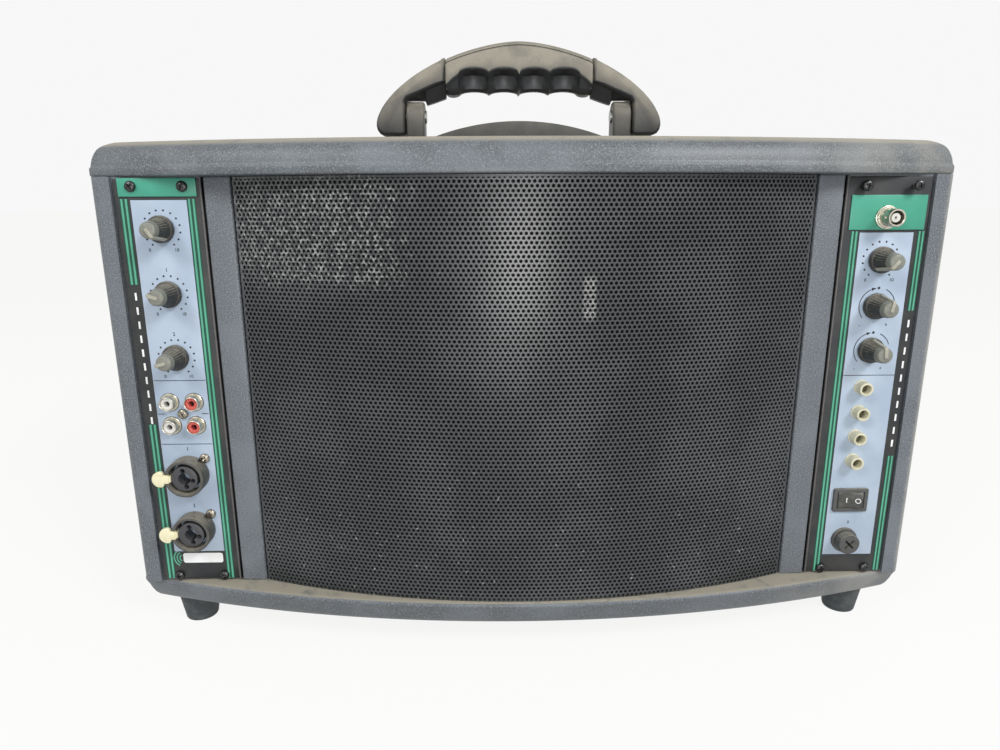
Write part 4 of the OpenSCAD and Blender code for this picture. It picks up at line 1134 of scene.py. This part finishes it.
levels = [(2.45, 6.1, 0), (2.6, 6.5, 0.4), (6.9, 6.45, 0.4), (7.5, 6.3, 0.1), (7.85, 6.0, 0), (8.0, 5.5, 0),
          (8.0, 3.0, 0)]
cap = lofted("fuse_cap_shell", [notched_ring(*level) for level in levels], angle=30)
for angle in (45, 135):
    cut(cap, slab("slot", (-3.6, 3.6), (-0.6, 0.6), (6.0, 9), spun(angle)))
finish_piece(smooth(move(cap, place)), "fuse", "fuse_carrier", ["fuse_cap"])
# painted shade: black floors in the cross slots
cross = [slab("groove", (-3.5, 3.5), (-0.55, 0.55), (5.4, 6.6), place @ spun(angle))
         for angle in (45, 135)]
finish_piece(joined("fuse_cap_cross", cross), "gap", "fuse_carrier")


# ---------- handle ----------

HANDLE_Z = CAP_TOP
SPAN = high("handle_arms")[0] / MM
GRIP_END = 47.4
FOOT_Z, HANDLE_H, POWER = 15.5, 68.0, 1.68


def arch_z(x):
    """Height of the handle's top outline above the cap."""
    return FOOT_Z + (HANDLE_H - FOOT_Z) * (1 - min(1, abs(x) / SPAN) ** POWER) ** (1 / POWER)


def inset(points, distance):
    """An outline moved inwards by a distance, corner by corner."""
    moved = []
    for i, (x, z) in enumerate(points):
        (ax, az), (bx, bz) = points[i - 1], points[(i + 1) % len(points)]
        dx, dz = bx - ax, bz - az
        length = math.hypot(dx, dz)
        moved.append((x + distance * dz / length, z - distance * dx / length))
    return moved


ARM_TOP = [(x, arch_z(x)) for x in (47.7, 52, 57, 62, 67, 72, 77, 81, 84.5, 87, 89)]
ARM_END = [(91.0, 24.5), (92.4, 21.6), (93.2, 18.8), (93.4, 16.2), (92.8, 13.5), (91.2, 11.2), (88.4, 10.0),
           (78, 9.8), (75.6, 10.4), (74.5, 12.4), (74.4, 29.4), (73.9, 31.4)]
FRONT_EDGE = [(72.6, 32.9), (67, 35.1), (61.5, 37.3), (60.5, 37.7), (54, 40.4), (47.7, 43.0)]
UNDER_EDGE = [(72.6, 32.4), (67, 32.5), (61.5, 32.4), (60.5, 29.6), (54, 31.6), (47.7, 33.8)]
front, under = ARM_TOP + ARM_END + FRONT_EDGE, ARM_TOP + ARM_END + UNDER_EDGE
PLANES = [(10.8, 2.2, front), (10.5, 1.2, front), (9.8, 0.45, front), (8.9, 0.1, front), (8.0, 0.0, front),
          (2.6, 0.0, under)]
layers = [(-y, tuck, shape) for y, tuck, shape in PLANES] + PLANES[::-1]
for side, name in SIDES:
    rings = [[(side * x * MM, y * MM, HANDLE_Z + z * MM) for x, z in inset(shape, tuck)]
             for y, tuck, shape in layers]
    arm = lofted(f"{name}_arm", rings, angle=34)
    finish_piece(arm, "handle", "handle", ["handle_arms"])


GROOVE = 19.5                   # spacing of the grip's four finger grooves


def finger(x):
    """How deep a finger groove is at x: 1 in the middle of each of the four, 0 on the ridges."""
    u = (x + 2 * GROOVE) % GROOVE / GROOVE * 2 - 1
    return math.sqrt(max(0.0, 1 - u * u)) if abs(x) < 2 * GROOVE else 0.0


def grip_section(x):
    """One cross section of the grip, front towards -y."""
    top, g = arch_z(x), finger(x)
    lobe = max(0.0, (abs(x) - 2 * GROOVE) / (GRIP_END - 2 * GROOVE))
    floor_z = 35.0 + 2.4 * g + (0.9 * (2 * lobe - 1) ** 2 if abs(x) > 2 * GROOVE else 0.5)
    rim_z = 46.6 + 4.0 * g ** 0.8 - 6.5 * lobe ** 1.3
    inward = 5.0 + 4.0 * g - 1.5 * lobe
    scoop = 0.35 + 0.4 * g
    drop = rim_z - floor_z
    crown = [(0, 0), (5.5, 0.15), (8.6, 0.8), (10.1, 1.7), (10.5, 2.3), (10.5, 3.0), (10.1, 3.2), (10.1, 3.6),
             (10.9, 3.9), (11.5, 5.2)]
    front = [(y, top - fall) for y, fall in crown] + [
        (11.7, rim_z + 1.6), (11.6, rim_z + 0.4), (11.1, rim_z - 0.5),
        (11.3 - inward * scoop, rim_z - 0.25 * drop), (11.4 - inward * (scoop + 0.15), rim_z - 0.55 * drop),
        (11.4 - inward * 0.9, floor_z + 1.6), (10.4 - inward, floor_z + 0.2), (1.5, floor_z), (0, floor_z)]
    back = [(-y, z) for y, z in reversed(front[1:-1])]
    return [(x * MM, -y * MM, HANDLE_Z + z * MM) for y, z in front + back]


steps = 97
sections = [grip_section(-GRIP_END + 2 * GRIP_END * i / (steps - 1)) for i in range(steps)]
for end in (0, -1):
    centre = Vector((0, 0, 0))
    for p in sections[end]:
        centre += Vector(p) / len(sections[end])
    sections[end] = [tuple(centre + (Vector(p) - centre) * 0.96) for p in sections[end]]
finish_piece(lofted("grip", sections, angle=38), "grip", "handle", ["grip_front", "grip_rear"])

# fixed base of the handle: long low dome with a lug at each end
DOME_R, DOME_H, DOME_X, DOME_W = 165, 18.9, 76.5, 19
dome = [(x, max(0.05, DOME_H - DOME_R + math.sqrt(DOME_R ** 2 - x * x)))
        for x in [-DOME_X + 2 * DOME_X * i / 40 for i in range(41)]]
low_dome = outlined("handle_dome", dome[::-1] + [(-DOME_X, 0), (DOME_X, 0)], DOME_W,
                    Matrix.Translation((0, DOME_W / 2 * MM, HANDLE_Z)) @ TO_FRONT, 1.2, 3)
finish_piece(low_dome, "handle", replaces=["handle_base"])
PIVOT_Z, LUG_IN, LUG_W = 22.4, 62.05, 11.85
for side, name in SIDES:
    lug_side = arc(0, PIVOT_Z, 9.4, 0, 180, 20) + [(-9.4, 0), (9.4, 0)]
    start = LUG_IN if side > 0 else -LUG_IN - LUG_W
    lug = outlined(f"{name}_lug", lug_side, LUG_W,
                   Matrix.Translation((start * MM, 0, HANDLE_Z)) @ TO_SIDE, 1.7, 4)
    finish_piece(lug, "handle", replaces=["handle_base"])
    web = [(62.4, 9.0), (61.0, 6.4), (58.6, 4.2), (55.0, 2.6), (55.0, 0.2), (62.4, 0.2)]
    web = [(side * x, z) for x, z in web]
    fillet = outlined(f"{name}_lug_fillet", web if side < 0 else web[::-1], 17,
                      Matrix.Translation((0, 8.5 * MM, HANDLE_Z)) @ TO_FRONT, 0.5, 2)
    finish_piece(fillet, "handle")


# ---------- feet ----------

FOOT_R = 13 * MM
foot_profile = [(2.8, 4.9), (5.5, 4.9), (5.6, 0.5), (6.0, 0.05), (8.9, 0.0), (9.5, 0.2), (9.8, 0.8),
                (12.5, 17.0),
                (12.9, 18.2), (12.4, 19.0), (2.8, 19.0), (2.8, 4.9)]
foot_master = turned("foot_master", foot_profile, HERE, 64)
lo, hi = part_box("feet")
for count, (x, y) in enumerate(((lo[0], lo[1]), (hi[0], lo[1]), (lo[0], hi[1]), (hi[0], hi[1])), 1):
    x, y = x - math.copysign(FOOT_R, x), y - math.copysign(FOOT_R, y)
    placed(foot_master, f"foot_{count}", Matrix.Translation((x, y, 0)), "rubber",
           replaces=["feet"])
discard(foot_master)


# ---------- finishes of the CAD nodes that stay ----------

KEPT = {"cabinet_shell": "wall", "rear_panel": "back", "baffle_board": "wood", "grille_foam": "foam",
        "woofer_frame": "steel_in", "woofer_magnet": "zinc", "woofer_cone": "paper", "tweeter": "steel_in",
        "potentiometers": "zinc", "control_boards": "circuit", "rca_block": "black", "leds": "lamp",
        "fuse": "glass", "receiver_module": "zinc", "amplifier_module": "sink", "battery": "battery",
        "mains_inlet": "black", "rear_screws": "screw", "foot_screws": "screw", "handle_pins": "zinc"}
for node, finish in KEPT.items():
    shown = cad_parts[node]
    shown.data.materials.clear()
    shown.data.materials.append(MATERIALS[finish])
    activate(shown)
    bpy.ops.object.shade_smooth_by_angle(angle=math.radians(35))


# ---------- floor, backdrop and light ----------

FLOOR_GLOW, SKY_GLOW = (0.22, 0.885), (0.42, 0.935)      # for the other rays, and for the rays of ray_mask


def glow_range(tree, span):
    """A strength that is the span's first value, or its second for the rays of ray_mask."""
    scaled = tree.nodes.new("ShaderNodeMapRange")
    scaled.inputs["To Min"].default_value, scaled.inputs["To Max"].default_value = span
    tree.links.new(ray_mask(tree), scaled.inputs["Value"])
    return scaled.outputs["Result"]


def ray_mask(tree):
    """1 for rays that should see a white studio: camera, glossy and transmission rays."""
    path = tree.nodes.new("ShaderNodeLightPath")
    total = path.outputs["Is Camera Ray"]
    for kind in ("Is Glossy Ray", "Is Transmission Ray"):
        either = tree.nodes.new("ShaderNodeMath")
        either.operation = "MAXIMUM"
        tree.links.new(total, either.inputs[0])
        tree.links.new(path.outputs[kind], either.inputs[1])
        total = either.outputs[0]
    return total


def white_stage(name):
    """Pale floor that shows as white to the camera and in reflections, and keeps its shadows."""
    material = bpy.data.materials.new(name)
    material.use_nodes = True
    tree = material.node_tree
    shader = tree.nodes["Principled BSDF"]
    shader.inputs["Base Color"].default_value = (0.10, 0.10, 0.10, 1)
    shader.inputs["Roughness"].default_value = 0.9
    shader.inputs["Specular IOR Level"].default_value = 0.0
    glow = tree.nodes.new("ShaderNodeEmission")
    glow.inputs["Color"].default_value = (1, 1, 0.99, 1)
    tree.links.new(glow_range(tree, FLOOR_GLOW), glow.inputs["Strength"])
    both = tree.nodes.new("ShaderNodeAddShader")
    tree.links.new(shader.outputs[0], both.inputs[0])
    tree.links.new(glow.outputs[0], both.inputs[1])
    tree.links.new(both.outputs[0], tree.nodes["Material Output"].inputs["Surface"])
    return material


bpy.ops.mesh.primitive_plane_add(size=40, location=(0, 0, 0))
floor = fresh("floor")
floor.data.materials.append(white_stage("floor_white"))

world = bpy.data.worlds.new("studio")
bpy.context.scene.world = world
world.use_nodes = True
tree = world.node_tree
tree.nodes["Background"].inputs["Color"].default_value = (1, 1, 1, 1)
tree.links.new(glow_range(tree, SKY_GLOW), tree.nodes["Background"].inputs["Strength"])


def softbox(name, place, target, size, power):
    data = bpy.data.lights.new(name, "AREA")
    data.shape = "RECTANGLE"
    data.size, data.size_y = size
    data.energy = power
    lamp = bpy.data.objects.new(name, data)
    bpy.context.scene.collection.objects.link(lamp)
    lamp.location = place
    lamp.rotation_euler = (Vector(target) - Vector(place)).to_track_quat("-Z", "Y").to_euler()


softbox("key_right", (1.0, -1.25, 1.35), (0, 0, 0.2), (0.5, 0.5), 20)
softbox("key_left", (-1.0, -1.25, 1.35), (0, 0, 0.2), (0.5, 0.5), 10)
softbox("front", (0.02, -1.2, 0.155), (0, 0, 0.22), (0.16, 0.16), 3.2)

bpy.context.scene.view_settings.view_transform = "Standard"
